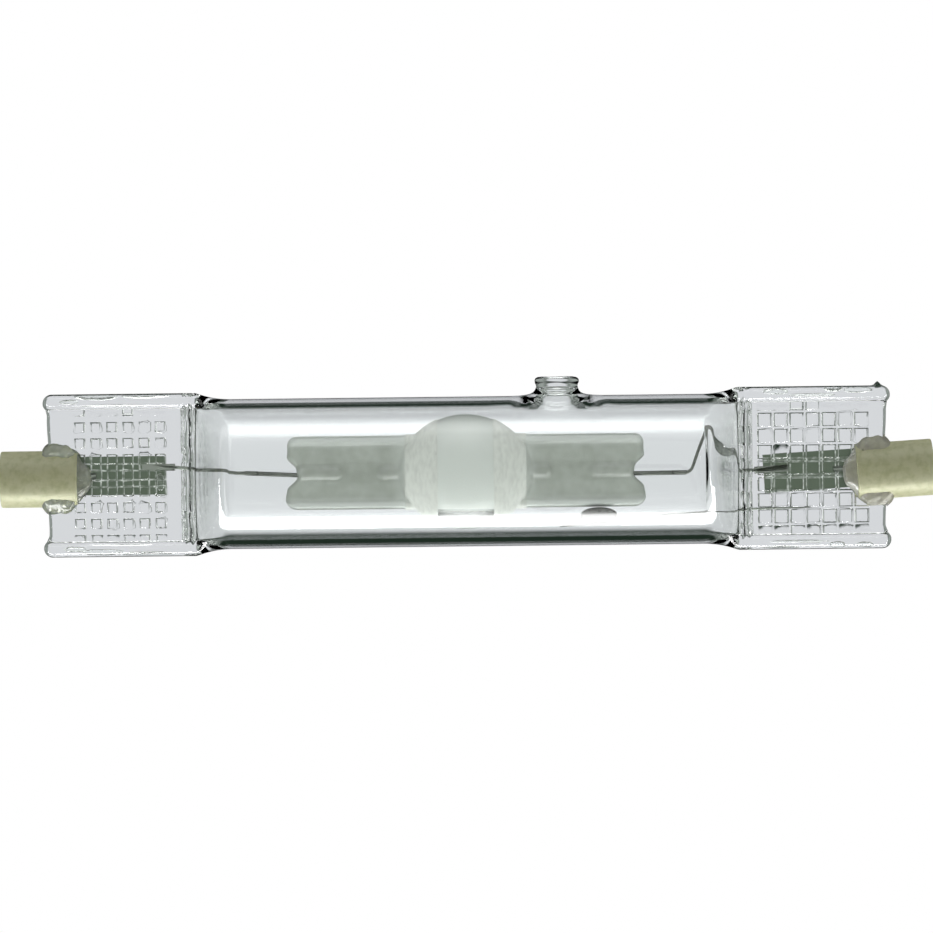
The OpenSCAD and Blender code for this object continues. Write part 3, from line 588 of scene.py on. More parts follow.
def pressed_foil(name, base, start, side, turned, glint_strength):
    """Etched molybdenum foil, dark, with a grid of near-white painted glints along the edges of the
    pads that the jaws pressed over it.
    """
    sizes = settings("jacket")
    base = tuple(base)
    material, tree, shader = new_material(name, base, Metallic=1.0, Roughness=0.36)
    place = add_node(tree, "ShaderNodeTexCoord")
    split = add_node(tree, "ShaderNodeSeparateXYZ", {"Vector": place.outputs["Object"]})
    half = sizes.pad_pitch / 2

    def line(value, middle):
        off = add_node(tree, "ShaderNodeMath", {0: value, 1: middle}, operation="SUBTRACT")
        near = add_node(tree, "ShaderNodeMath", {0: off.outputs[0], 1: half},
                        operation="PINGPONG")
        ring = add_node(tree, "ShaderNodeMath", {0: near.outputs[0], 1: side / 2},
                        operation="SUBTRACT")
        gap = add_node(tree, "ShaderNodeMath", {0: ring.outputs[0]}, operation="ABSOLUTE")
        return add_node(tree, "ShaderNodeMapRange", {
            "Value": gap.outputs[0], "From Min": 0.04 * MM, "From Max": 0.17 * MM,
            "To Min": 1.0, "To Max": 0.0}).outputs[0]

    across = line(split.outputs["X"], SPAN - start if turned else start)
    along = line(split.outputs["Z"], AXIS_Z)
    either = add_node(tree, "ShaderNodeMath", {0: across, 1: along}, operation="MAXIMUM")
    uneven_pads_and_glints = grain(tree, 0.8 * MM, detail=3)
    kept = add_node(tree, "ShaderNodeMapRange", {
        "Value": uneven_pads_and_glints.outputs["Fac"], "From Min": 0.4, "From Max": 0.62,
        "To Min": glint_strength * 0.15, "To Max": glint_strength})
    painted_glint = add_node(tree, "ShaderNodeMath", {0: either.outputs[0], 1: kept.outputs[0]},
                      operation="MULTIPLY")
    # The near-white end of this ramp is a painted highlight: glints of the pads' edges, drawn over the
    # foil's own colour with an uneven strength.
    ramp = add_node(tree, "ShaderNodeValToRGB", {"Fac": painted_glint.outputs[0]})
    ramp.color_ramp.elements[0].color = (*base, 1)
    ramp.color_ramp.elements[1].color = (0.95, 0.97, 0.96, 1)
    tree.links.new(ramp.outputs["Color"], shader.inputs["Base Color"])
    creases = grain(tree, 0.35 * MM, detail=3, stretch=(1, 1, 2.5))
    bump(tree, shader, creases.outputs["Fac"], 0.012 * MM)
    return material


def plain_metal(name, base, roughness, size):
    """A small metal piece with a fine grain."""
    base = tuple(base)
    material, tree, shader = new_material(name, base, Metallic=1.0, Roughness=roughness)
    marks = grain(tree, size, detail=3)
    mottle(tree, shader, marks, shaded(base, 0.75), base)
    bump(tree, shader, marks.outputs["Fac"], 0.01 * MM)
    return material


def sintered_getter():
    """Getter powder sintered in its cup: dull, dark and dry, with no glint of metal left."""
    base = tuple(settings("colours").getter)
    material, tree, shader = new_material("Sintered getter", base, Metallic=0.2, Roughness=0.8)
    powder = grain(tree, 0.15 * MM, detail=3)
    mottle(tree, shader, powder, shaded(base, 0.7), base)
    bump(tree, shader, powder.outputs["Fac"], 0.02 * MM)
    return material


def halide_salt():
    """Halide salt that has melted, run down and set: dark, glossy and uneven."""
    base = tuple(settings("colours").salt)
    material, tree, shader = new_material("Set halide salt", base, Roughness=0.35, IOR=1.7)
    patches = grain(tree, 1.5 * MM, detail=3)
    mottle(tree, shader, patches, shaded(base, 0.5), tuple(min(1, c * 2.2) for c in base))
    bump(tree, shader, patches.outputs["Fac"], 0.05 * MM)
    return material


# Jacket

def pinch_rows(pad_side):
    """Heights across a pinch: a pair at each edge of each pad, and close together on the rims."""
    sizes = settings("jacket")
    inner = PINCH_HALF - sizes.rim
    edges = [sizes.pad_pitch * row + side * pad_side / 2 + slope * sizes.pad_edge / 2
             for row in range(-4, 5) for side in (-1, 1) for slope in (-1, 1)]
    web_rows = [z for z in edges if abs(z) < inner - sizes.pad_edge]
    turns = np.linspace(-90, 90, 14)
    rim_rows = [PINCH_HALF - sizes.rim / 2 * (1 - math.sin(math.radians(a))) for a in turns]
    return np.array(sorted([-z for z in rim_rows] + web_rows + rim_rows))


def pinch_half_thickness(z):
    """Half thickness of a pinch at a height over its middle, without pads."""
    sizes = settings("jacket")
    rim_middle = PINCH_HALF - sizes.rim / 2
    q = np.clip(np.abs(np.abs(z) - rim_middle) / (sizes.rim / 2), 0, 1)
    bulge = sizes.rim_thickness / 2 * np.sqrt(1 - q ** 3)
    web = np.where(np.abs(z) > rim_middle, 0, sizes.web / 2)
    return np.where(np.abs(z) > rim_middle, bulge, soft_max(web, bulge, 0.12 * MM))


def on_pad(value, side, edge):
    """1 on a pad and 0 beside it, with the slope of its edge between."""
    return np.clip((side / 2 - np.abs(value)) / edge + 0.5, 0, 1)


def pads(x, z, start, columns, side):
    """Height of the pads over the web at each x and z."""
    sizes = settings("jacket")
    column = np.clip(np.rint((x - start) / sizes.pad_pitch), 0, columns - 1)
    row = np.rint(z / sizes.pad_pitch)
    along = on_pad(x - start - column * sizes.pad_pitch, side, sizes.pad_edge)
    across = on_pad(z - row * sizes.pad_pitch, side, sizes.pad_edge)
    inner = np.abs(z) < PINCH_HALF - sizes.rim - sizes.pad_edge
    uneven = 0.85 + 0.15 * np.sin(column * 2.3 + row * 4.1 + start / MM)
    uneven_pads_and_glints = 1 + roughen(np.stack([x, z * 0 + start, z], axis=-1), 1.3 * MM, sizes.pad_wear, 4.0)
    return sizes.pad_height * along * across * inner * uneven * uneven_pads_and_glints


def pinch_stations(start, columns, side):
    """Places of the rings along a field, a pair at each edge of each column of pads."""
    sizes = settings("jacket")
    end = sizes.inset + sizes.field
    edges = [start + c * sizes.pad_pitch + s * side / 2 + e * sizes.pad_edge / 2
             for c in range(columns) for s in (-1, 1) for e in (-1, 1)]
    first = sizes.inset + 0.9 * MM
    lead_in = np.linspace(first, edges[0], 8)[:-1]
    run_out = np.linspace(edges[-1], end, 6)[1:]
    return np.array([*lead_in, *edges, *run_out])


def pinch_outline(z, t):
    """X of a point at the share t of the first stretch of a pinch, whose end is melted round."""
    sizes = settings("jacket")
    inner = PINCH_HALF - sizes.rim
    proud = sizes.rim_proud * eased((np.abs(z) - inner + 0.6 * MM) / (1.4 * MM))
    corner = 1.3 * MM
    past = np.clip((np.abs(z) - PINCH_HALF + corner) / corner, 0, 1)
    end = sizes.inset - proud + corner * (1 - np.sqrt(1 - past ** 2))
    end = end + 0.12 * MM * np.sin(z / (1.7 * MM)) * eased((inner - np.abs(z)) / MM)
    return end + (sizes.inset + 3.2 * MM - end) * t


def ridge_lift(t, z, seed):
    """Height of the crumpled double ridge at the share t of its width."""
    sizes = settings("jacket")
    points = np.stack([z * 0 + t * sizes.ridge, z * 0 + seed * MM, z], axis=-1)
    wander = roughen(points * np.array([0, 1, 1]), 1.1 * MM, 0.16, seed)
    at = t + wander * min(1, 6 * t * (1 - t))
    crests = (0.75 * np.exp(-((at - 0.28) / 0.13) ** 2) + np.exp(-((at - 0.74) / 0.13) ** 2))
    crumple = 1 + roughen(points, 0.5 * MM, 1.1, seed)
    return sizes.ridge_height * crests * crumple


def sink(x, z, depth):
    """How far the front wall gives way at a place on the right shoulder."""
    sizes = settings("jacket")
    middle = sizes.inset + sizes.field + sizes.ridge + sizes.shoulder * 0.68
    return depth * np.exp(-((x - middle) / (sizes.sink_length / 2)) ** 2
                          - (z / (sizes.sink_height / 2)) ** 2)


def shoulder_share(t):
    """How far a shoulder has opened at the share t of its length: fast at first, then domed."""
    return t * (2 - t) * (1 - 0.6 * np.exp(-t / 0.1)) if t < 1 else 1.0


def end_rings(start, columns, side, sink_depth, seed):
    """Rings of one end of the jacket, from its melted end to the round tube."""
    sizes = settings("jacket")
    rows = pinch_rows(side)
    z = np.concatenate([rows, rows[-2:0:-1]])
    face = np.concatenate([-np.ones(len(rows)), np.ones(len(rows) - 2)])
    half = pinch_half_thickness(z)
    turn = np.linspace(-math.pi / 2, math.pi * 1.5, len(z), endpoint=False)
    round_y = -TUBE_R * np.cos(turn)
    round_z = TUBE_R * np.sin(turn)
    field_end = sizes.inset + sizes.field
    ridge_end = field_end + sizes.ridge
    melt = sizes.inset + 0.9 * MM
    reach = 3.2 * MM

    def ring(x, y, height):
        return np.stack([x, y, height], axis=-1)

    rings = []
    for step in (0, 12, 30, 50, 70):
        a = math.radians(step)
        t = (1 - math.cos(a)) * 0.9 * MM / reach
        rings.append(ring(pinch_outline(z, t), face * half * math.sin(a), z))
    for x in pinch_stations(start, columns, side):
        t = (x - sizes.inset) / reach
        along = pinch_outline(z, t) if t < 1 else np.full_like(z, x)
        lift = pads(along, z, start, columns, side) if x > melt else 0
        rings.append(ring(along, face * (half + lift), z))
    for t in np.linspace(0, 1, 22)[1:]:
        lift = ridge_lift(t, z, seed) * np.clip(half / (0.8 * MM), 0, 1)
        body = soft_max(half, sizes.web / 2 + lift, 0.1 * MM)
        inside = np.abs(z) < PINCH_HALF - sizes.rim / 2
        x = np.full_like(z, field_end + sizes.ridge * t)
        rings.append(ring(x, face * np.where(inside, body, half * (1 + 0.04 * lift / MM)), z))
    for t in np.linspace(0, 1, 30)[1:]:
        s = shoulder_share(t)
        x = np.full_like(z, ridge_end + sizes.shoulder * t)
        y = (1 - s) * face * half + s * round_y
        height = (1 - s) * z + s * round_z
        y = y + np.where(y < 0, sink(x, height, sink_depth) * (1 - eased((t - 0.75) * 4)), 0)
        rings.append(ring(x, y, height))
    return np.array(rings)


def hollow_rings(around, sink_depth):
    """Rings of one end of the jacket's hollow, from its slit to the bore."""
    sizes = settings("jacket")
    turn = np.linspace(-math.pi / 2, math.pi * 1.5, around, endpoint=False)
    bore = TUBE_R - sizes.wall
    ridge_end = sizes.inset + sizes.field + sizes.ridge
    first = ridge_end + 0.25 * MM
    rings = []
    for t in np.linspace(-0.12, 1, 30):
        s = shoulder_share(max(t, 0))
        rise = (TUBE_R - sizes.web / 2) * (shoulder_share(max(t, 0) + 0.01) - s) / 0.01
        slope = math.atan(max(rise, 0) / sizes.shoulder) if t < 1 else 0
        x = ridge_end + sizes.shoulder * max(t, 0) + sizes.wall * math.sin(slope)
        half = sizes.web / 2 + (TUBE_R - sizes.web / 2) * s - sizes.wall * math.cos(slope)
        if t < 0:
            x = first + (x - first) * (1 + t / 0.12)
            half = sizes.slit + (half - sizes.slit) * float(eased(1 + t / 0.12))
        c = np.cos(turn)
        y = -half * np.sign(c.round(9)) * np.abs(c) ** (0.5 + 0.5 * s) * min(1, (t + 0.12) * 30)
        z = ((1 - s) * (PINCH_HALF - sizes.rim) + s * bore) * np.sin(turn)
        y = y + np.where(y < 0, sink(x, z, sink_depth) * s * (1 - eased((t - 0.75) * 4)), 0)
        rings.append(np.stack([np.full(around, x), y, z], axis=-1))
    return np.array(rings)


def mirrored(rings):
    """The same rings at the right end of the lamp, in the order that goes on from the left."""
    turned = rings[::-1].copy()
    turned[..., 0] = SPAN - turned[..., 0]
    return turned


def tube_rings(first, last, near, half_patch, steps):
    """Rings between two given ones, with even steps under the patch of the exhaust tip."""
    x0, x1 = first[0, 0], last[0, 0]
    stations = [*np.linspace(x0, near - half_patch, 14)[1:],
                *np.linspace(near - half_patch, near + half_patch, steps + 1)[1:-1],
                *np.linspace(near + half_patch, x1, 8)[:-1]]
    rings = []
    for x in stations:
        ring = first.copy()
        ring[:, 0] = x
        rings.append(ring)
    return np.array(rings)


def tip_rules(place, radius, base, profile, dent=0.0):
    """One rule for each loop of the exhaust tip: share of its radius, height, and how flat it is."""
    def rule(share, lift, flat):
        def move(co):
            a = math.atan2(co.y, co.x - place)
            r = radius * share
            y = r * math.sin(a)
            curved = math.sqrt(max(base ** 2 - y ** 2, 0))
            uneven = dent * noise.noise(Vector((math.cos(a) * share, math.sin(a) * share, lift / MM)))
            return Vector((place + r * math.cos(a), y,
                           (1 - flat) * curved + flat * base + lift + uneven * flat))
        return move
    return [rule(*row) for row in profile]


def bubble(name, centre, size):
    """A gas bubble in the quartz: a closed skin whose faces look into the bubble."""
    deselect()
    bpy.ops.mesh.primitive_uv_sphere_add(segments=24, ring_count=12, radius=0.5,
                                         location=centre)
    shell = named(name)
    shell.scale = size
    settle(shell)
    wave = np.empty(len(shell.data.vertices) * 3)
    shell.data.vertices.foreach_get("co", wave)
    wave = wave.reshape(-1, 3)
    middle = np.array(centre)
    swell = 1 + roughen(wave, max(size) / 3, 0.2, centre[0] / MM)
    shell.data.vertices.foreach_set("co", (middle + (wave - middle) * swell[:, None]).ravel())
    return tidy_faces(shell, inside=True)


# Streaks of gas in the rims and the bubble at the left foil: end of the lamp, x from its contact,
# y, height over the axis, and the length, depth and height of each, in millimetres
STREAKS = (
    (0, 12.4, -0.9, 11.1, 6.6, 0.3, 0.5), (0, 19.4, -1.0, 11.15, 7.0, 0.3, 0.4),
    (0, 15.0, -1.3, 10.3, 10.5, 0.25, 0.26), (0, 8.3, -1.0, 10.7, 2.8, 0.3, 0.44),
    (0, 13.2, -0.9, -10.9, 6.0, 0.3, 0.44), (0, 19.6, -0.9, -11.1, 7.4, 0.3, 0.36),
    (0, 9.0, -1.0, -10.7, 3.2, 0.3, 0.5), (0, 16.0, -1.2, -10.3, 9.6, 0.25, 0.22),
    (0, 21.4, -0.62, -0.96, 1.2, 0.4, 2.5),
    (1, 12.6, -0.9, 11.1, 2.6, 0.35, 0.5), (1, 21.0, -0.9, 10.9, 3.6, 0.35, 0.44),
    (1, 16.0, -1.2, 10.6, 6.8, 0.3, 0.36), (1, 9.2, -1.0, 11.0, 4.2, 0.35, 0.5),
    (1, 12.3, -1.0, -11.0, 2.2, 0.4, 0.6), (1, 17.8, -1.1, -10.7, 9.0, 0.3, 0.34),
    (1, 8.2, -1.0, -11.0, 2.4, 0.35, 0.44), (1, 20.6, -0.9, -11.15, 5.6, 0.3, 0.34),
)


class LAMP_OT_jacket(bpy.types.Operator):
    """Blow the outer jacket, with its pinches, exhaust tip, sink mark and streaks"""

    bl_idname = "lamp.jacket"
    bl_label = "Jacket"

    def execute(self, context):
        sizes = settings("jacket")
        left = end_rings(sizes.left_start, sizes.left_columns, sizes.left_pad, 0, 3.0)
        right = mirrored(end_rings(sizes.right_start, sizes.right_columns, sizes.right_pad,
                                   sizes.sink_depth, 8.0))
        place = SPAN / 2 + sizes.tip_shift
        patch = 7.0 * MM
        rings = np.concatenate([left, tube_rings(left[-1], right[0], place, patch, 28), right])
        rings = self.with_nib(rings)
        outer = tidy_faces(rolled_skin("jacket_glass", rings))
        flank = 6.9 * MM
        lift_loop(outer, lambda co: abs(co.x - place) < patch and abs(co.y) < flank and co.z > 0,
                  tip_rules(place, sizes.tip_radius, TUBE_R, self.tip_profile(), 0.1 * MM))
        tidy_faces(outer)
        hollow = self.hollow(place)
        pieces = [outer, hollow]
        for number, (end, x, y, z, *size) in enumerate(STREAKS):
            along = SPAN - x * MM if end else x * MM
            centre = (along, y * MM, z * MM)
            pieces.append(bubble(f"streak_{number}", centre, [s * MM for s in size]))
        take(*pieces)
        bpy.ops.object.join()
        outer.location.z = AXIS_Z
        settle(outer)
        take(outer)
        bpy.ops.object.shade_smooth_by_angle(angle=math.radians(38))
        coat_with(outer, fused_quartz())
        dress(outer, "clear_quartz", "jacket")
        return {"FINISHED"}

    def with_nib(self, rings):
        """Draws the top of the right rim up to a small point."""
        sizes = settings("jacket")
        rings = rings.copy()
        top = np.clip((rings[..., 2] - PINCH_HALF + 0.5 * MM) / (0.5 * MM), 0, 1)
        off = (rings[..., 0] - (SPAN - sizes.nib_inset)) / (0.42 * MM)
        rings[..., 2] += sizes.nib_height * top * np.exp(-off ** 2)
        return rings

    def tip_profile(self):
        """Loops of the exhaust tip: share of its radius, height over the tube, and flatness."""
        over = TIP_TOP - TUBE_R
        return [(2.1, 0.0, 0.0), (1.9, 0.008 * over, 0.0), (1.7, 0.02 * over, 0.02),
                (1.5, 0.04 * over, 0.06), (1.33, 0.07 * over, 0.15), (1.2, 0.11 * over, 0.35),
                (1.1, 0.165 * over, 0.6), (1.02, 0.25 * over, 0.85), (0.965, 0.37 * over, 1.0),
                (0.94, 0.48 * over, 1.0), (0.96, 0.58 * over, 1.0), (1.0, 0.68 * over, 1.0),
                (1.01, 0.78 * over, 1.0), (0.97, 0.87 * over, 1.0), (0.88, 0.93 * over, 1.0),
                (0.72, 0.955 * over, 1.0), (0.52, 0.96 * over, 1.0), (0.32, 0.94 * over, 1.0),
                (0.14, 0.93 * over, 1.0)]

    def hollow(self, place):
        """The inner skin of the jacket, which runs up into the tip."""
        sizes = settings("jacket")
        left = hollow_rings(96, 0)
        right = mirrored(hollow_rings(96, sizes.sink_depth))
        patch = 4.6 * MM
        rings = np.concatenate([left, tube_rings(left[-1], right[0], place, patch, 18), right])
        hollow = tidy_faces(rolled_skin("jacket_hollow", rings))
        bore = TUBE_R - sizes.wall
        over = TIP_TOP - bore
        profile = [(2.4, 0.0, 0.0), (2.05, 0.012 * over, 0.04), (1.76, 0.035 * over, 0.12),
                   (1.53, 0.075 * over, 0.3), (1.36, 0.14 * over, 0.55), (1.25, 0.225 * over, 0.8),
                   (1.16, 0.33 * over, 1.0), (1.08, 0.45 * over, 1.0), (0.92, 0.55 * over, 1.0),
                   (0.6, 0.61 * over, 1.0), (0.25, 0.625 * over, 1.0)]
        flank = 4.7 * MM
        lift_loop(hollow, lambda co: abs(co.x - place) < patch and abs(co.y) < flank and co.z > 0,
                  tip_rules(place, sizes.tip_radius * 0.55, bore, profile))
        return tidy_faces(hollow, inside=True)


# Arc tube

def barrel_radius(x, radius):
    """Radius of the bulb's barrel at a distance from its middle."""
    drop = settings("arc_tube").barrel_drop
    return np.sqrt(np.maximum((radius + drop) ** 2 - x ** 2, 0)) - drop


def arc_half_thickness(x, z, grow):
    """Half thickness of the arc tube at a distance from its middle and a height over its axis."""
    sizes = settings("arc_tube")
    half_width = BULB_R - sizes.step + grow
    rail_middle = half_width - sizes.rail / 2
    q = np.clip(np.abs(np.abs(z) - rail_middle) / (sizes.rail / 2), 0, 1)
    rail = (sizes.rail_thickness / 2 + grow) * np.sqrt(1 - q ** 3)
    web = np.where(np.abs(z) > rail_middle, 0, sizes.web / 2 + grow)
    body = np.where(np.abs(z) > rail_middle, rail, soft_max(web, rail, 0.2 * MM))
    bulb = np.sqrt(np.maximum(np.maximum(barrel_radius(x, BULB_R + grow), 0) ** 2 - z ** 2, 0))
    body = soft_max(body, bulb, 0.25 * MM) - 0.03 * MM * (np.abs(z) < half_width)
    return np.maximum(body, arc_rib(x, z, grow))


def arc_rib(x, z, grow):
    """Height of the round-nosed ribs over an electrode and over a lead."""
    sizes = settings("arc_tube")
    r = sizes.rib_radius + grow
    web_end = ARC_REACH - sizes.rail_proud
    coat_reach = COAT_BOX[1].x - ARC_MIDDLE
    rod_nose = coat_reach + sizes.rod_rib - r
    lead_nose = web_end - sizes.lead_rib + r
    past = np.where(x < (rod_nose + lead_nose) / 2,
                    np.maximum(x - rod_nose, 0), np.maximum(lead_nose - x, 0))
    dome = np.sqrt(np.maximum(r ** 2 - z ** 2 - past ** 2, 0))
    return np.where(dome > 0, sizes.web / 2 - sizes.rib_sink + dome, 0)


def arc_outline(z):
    """X of the arc tube's melted end at each height: two round lobes with a notch between."""
    sizes = settings("arc_tube")
    half_width = BULB_R - sizes.step
    notch = sizes.rail_proud * (1 - eased((np.abs(z) - 0.5 * MM) / (1.9 * MM)))
    corner = 1.7 * MM
    past = np.clip((np.abs(z) - half_width + corner) / corner, 0, 1)
    wave = 0.16 * MM * np.sin(z / (0.8 * MM) + 0.6)
    return ARC_REACH - 0.15 * MM - notch - corner * (1 - np.sqrt(1 - past ** 2)) + wave


def arc_ring(x, grow, around, close=1.0):
    """One ring of the arc tube's outside at the distance x from its middle."""
    sizes = settings("arc_tube")
    turn = np.linspace(-math.pi / 2, math.pi * 1.5, around, endpoint=False)
    half_width = BULB_R - sizes.step + grow
    reach = max(half_width, float(barrel_radius(np.array(abs(x)), BULB_R + grow)))
    z = reach * np.sin(turn)
    y = -np.sign(np.cos(turn).round(6)) * arc_half_thickness(abs(x), z, grow) * close
    web_end = ARC_REACH - sizes.rail_proud
    blend = np.clip((abs(x) - web_end + 4 * MM) / (ARC_REACH - web_end + 4 * MM), 0, 1)
    start = web_end - 4 * MM
    end = start + (arc_outline(z) - start) * blend
    along = np.where(blend > 0, end, abs(x))
    return np.stack([np.copysign(along, x), y, z], axis=-1)


class LAMP_OT_arc_tube(bpy.types.Operator):
    """Press the arc tube, with its bulb, rails, ribs and melted ends"""

    bl_idname = "lamp.arc_tube"
    bl_label = "Arc tube"

    def execute(self, context):
        sizes = settings("arc_tube")
        around = 120
        turns = np.radians([90, 72, 54, 38, 24, 10, 0])
        melt = 1.1 * MM
        ends = [(ARC_REACH - melt + melt * math.cos(a), math.sin(a)) for a in turns]
        inner = [(x, 1.0) for x in np.linspace(0, ARC_REACH - melt, 74)[:-1]]
        half = inner + ends
        row = [(-x, close) for x, close in half[:0:-1]] + half
        rings = np.array([arc_ring(x, 0, around, close) for x, close in row])
        outer = rolled_skin("arc_tube_glass", rings)
        tidy_faces(outer, merge=2e-6)
        hollow = self.cavity(BULB_R - sizes.wall)
        take(outer, hollow)
        bpy.ops.object.join()
        outer.location = (ARC_MIDDLE, 0, AXIS_Z)
        settle(outer)
        smooth(outer, 60)
        coat_with(outer, frosted_quartz())
        dress(outer, "frosted_quartz", "arc_tube")
        self.salt(BULB_R - sizes.wall - 0.01 * MM)
        return {"FINISHED"}

    def cavity(self, radius, inside=True):
        drop = settings("arc_tube").barrel_drop
        reach = math.sqrt((radius + drop) ** 2 - drop ** 2)
        turn = np.linspace(0, math.tau, 96, endpoint=False)
        rings = []
        for a in np.linspace(-90, 90, 45):
            x = reach * math.sin(math.radians(a))
            r = float(barrel_radius(np.array(x), radius)) if abs(a) < 90 else 0.0
            rings.append(np.stack([np.full_like(turn, x), -r * np.cos(turn), r * np.sin(turn)],
                                  axis=-1))
        return tidy_faces(rolled_skin("arc_cavity", np.array(rings)), inside, merge=1e-6)

    def salt(self, radius):
        """The salt that has run down and set along the bottom of the bulb's clear band."""
        pool = self.cavity(radius, inside=False)
        pool.name = "salt_pool"
        clear = (COAT_BOX[0].x - ARC_MIDDLE) * 0.96
        above = slab("above_tool", -2 * BULB_R, 2 * BULB_R, 2 * BULB_R, BULB_R)
        above.location.z = BULB_R - settings("arc_tube").pool
        cut(pool, settle(above))
        for start, end in ((clear, 2 * BULB_R), (-2 * BULB_R, -clear)):
            cut(pool, slab("beside_tool", start, end, 2 * BULB_R, 2 * BULB_R))
        pool.location = (ARC_MIDDLE, 0, AXIS_Z)
        settle(tidy_faces(pool))
        smooth(pool, 40)
        coat_with(pool, halide_salt())
        return dress(pool, "halide_salt", "halide_film")


class LAMP_OT_heat_coats(bpy.types.Operator):
    """Paint the white heat coats on both ends of the bulb"""

    bl_idname = "lamp.heat_coats"
    bl_label = "Heat coats"

    def execute(self, context):
        material = zirconia_coat()
        near = COAT_BOX[0].x - ARC_MIDDLE
        far = COAT_BOX[1].x - ARC_MIDDLE
        thickness = settings("arc_tube").coat
        for side, name in ((-1, "left"), (1, "right")):
            stations = np.linspace(near, far, 26)
            outside = [arc_ring(side * x, thickness, 120) for x in stations]
            inside = [arc_ring(side * x, 0.02 * MM, 120) for x in stations[::-1]]
            rings = np.array([*outside, *inside, outside[0]])
            coat = rolled_skin(f"{name}_coat", rings)
            tidy_faces(coat, merge=1e-8)
            coat.location = (ARC_MIDDLE, 0, AXIS_Z)
            settle(coat)
            smooth(coat, 50)
            coat_with(coat, material)
            dress(coat, "heat_coat", f"{name}_heat_coat")
        return {"FINISHED"}


# Caps

def at_right_end(piece):
    """Turns a piece made for the left end to the right one, on the right contact's axis."""
    turn = Matrix.Rotation(math.pi - RIGHT_TILT, 4, "Y")
    piece.matrix_world = Matrix.Translation(RIGHT_FACE) @ turn
    return settle(piece)


def slab(name, x0, x1, half_y, half_z):
    """A plain tool for a cut."""
    deselect()
    bpy.ops.mesh.primitive_cube_add(size=1, location=((x0 + x1) / 2, 0, 0))
    tool = named(name)
    tool.scale = (x1 - x0, 2 * half_y, 2 * half_z)
    return settle(tool)


class LAMP_OT_caps(bpy.types.Operator):
    """Turn the ceramic caps with their slots, and the contacts sunk in them"""

    bl_idname = "lamp.caps"
    bl_label = "Caps and contacts"

    def execute(self, context):
        ceramic = steatite()
        nickel = plain_metal("Nickel plate", settings("colours").nickel, 0.28, 0.4 * MM)
        for name in ("left", "right"):
            cap = self.cap(f"{name}_cap_ceramic")
            contact = self.contact(f"{name}_contact_metal")
            if name == "right":
                at_right_end(cap)
                at_right_end(contact)
            dress(coat_with(cap, ceramic), "cap_ceramic", f"{name}_cap")
            dress(coat_with(contact, nickel), "contact_nickel", f"{name}_contact")
        return {"FINISHED"}

    def cap(self, name):
        sizes = settings("caps")
        r = CAP_BOX[1].y
        start, end = CAP_BOX[0].x, CAP_BOX[1].x
        edge = sizes.edge
        seat = sizes.head_radius + 0.05 * MM
        bore = sizes.shank_radius + 0.05 * MM
        turns = np.radians(np.linspace(0, 90, 6))
        outer = [(start + edge - edge * math.cos(a), r - edge + edge * math.sin(a)) for a in turns]
        inner = [(start + 0.5 * edge * (1 - math.sin(a)),
                  sizes.recess_radius + 0.5 * edge * (1 - math.cos(a))) for a in turns[::-1]]
        inner_start = [(x, rr) for x, rr in inner[::-1]]
        profile = [(sizes.head, bore), (sizes.head, seat), (0, seat), (0, sizes.recess_radius),
                   (start + 0.5 * edge, sizes.recess_radius), *inner_start[1:], *outer,
                   (end - 0.1 * MM, r), (end, r - 0.1 * MM), (end, bore), (sizes.head, bore)]
        cap = spun(name, profile)
        web = settings("jacket").web
        cut(cap, slab("slot_tool", settings("jacket").inset - 3 * sizes.slot, end + MM,
                      web / 2 + sizes.slot, 2 * r))
        return smooth(tidy_faces(cap, merge=1e-6), 32)

    def contact(self, name):
        sizes = settings("caps")
        r = sizes.head_radius
        dish = r * 0.64
        soft = 0.12 * MM
        end = CONTACT_BOX[1].x
        hole = 0.45 * MM
        profile = [(sizes.dish, 0), (sizes.dish, dish * 0.7), (sizes.dish * 0.8, dish * 0.84),
                   (sizes.dish * 0.25, dish * 0.96), (0, dish * 1.05), (0, r - soft),
                   (soft * 0.3, r - soft * 0.3), (soft, r), (sizes.head - soft, r),
                   (sizes.head, r - soft), (sizes.head, sizes.shank_radius),
                   (end, sizes.shank_radius), (end, hole), (sizes.head, hole), (sizes.head, 0)]
        return smooth(spun(name, profile, 64), 40)


# Cement

def cement_rings(lumps, seed):
    """Rings of a collar of cement round the left cap's axis, squeezed flat over the pinch."""
    sizes = settings("caps")
    x0, x1 = CEMENT_BOX[0].x, CEMENT_BOX[1].x
    widest = CEMENT_BOX[1].z
    turn = np.linspace(0, math.tau, 96, endpoint=False)
    rings = []
    for t in np.linspace(0, 1, 40):
        swell = min(1.0, math.sqrt(max(0.0, 1 - (1 - t / 0.3) ** 2)) * 0.35 + 0.66) if t < 0.3 else 1
        fall = 1 - eased(np.array((t - 0.45) / 0.55)) * 0.62
        close = math.sqrt(max(0.0, 1 - max(0.0, (t - 0.9) / 0.1) ** 2)) * min(1.0, t / 0.02)
        height = widest * swell * fall * close
        depth = min(sizes.cement_thickness / 2 * (0.8 + 0.2 * swell), widest * swell) * close
        depth *= 1 - 0.35 * float(eased(np.array((t - 0.6) / 0.4)))
        c, s = np.cos(turn), np.sin(turn)
        ring = np.stack([np.full_like(turn, x0 + (x1 - x0) * t),
                         -depth * np.sign(c) * np.abs(c) ** 0.8,
                         height * np.sign(s) * np.abs(s) ** 0.9], axis=-1)
        rough = roughen(ring, 1.7 * MM, lumps, seed) + roughen(ring, 0.6 * MM, lumps * 0.35, seed)
        away = ring * np.array([0, 1, 1])
        norm = np.maximum(np.linalg.norm(away, axis=-1, keepdims=True), 1e-9)
        ring += away / norm * rough[:, None] * close
        ring[:, 0] += rough * 0.5 * close
        rings.append(ring)
    return np.array(rings)


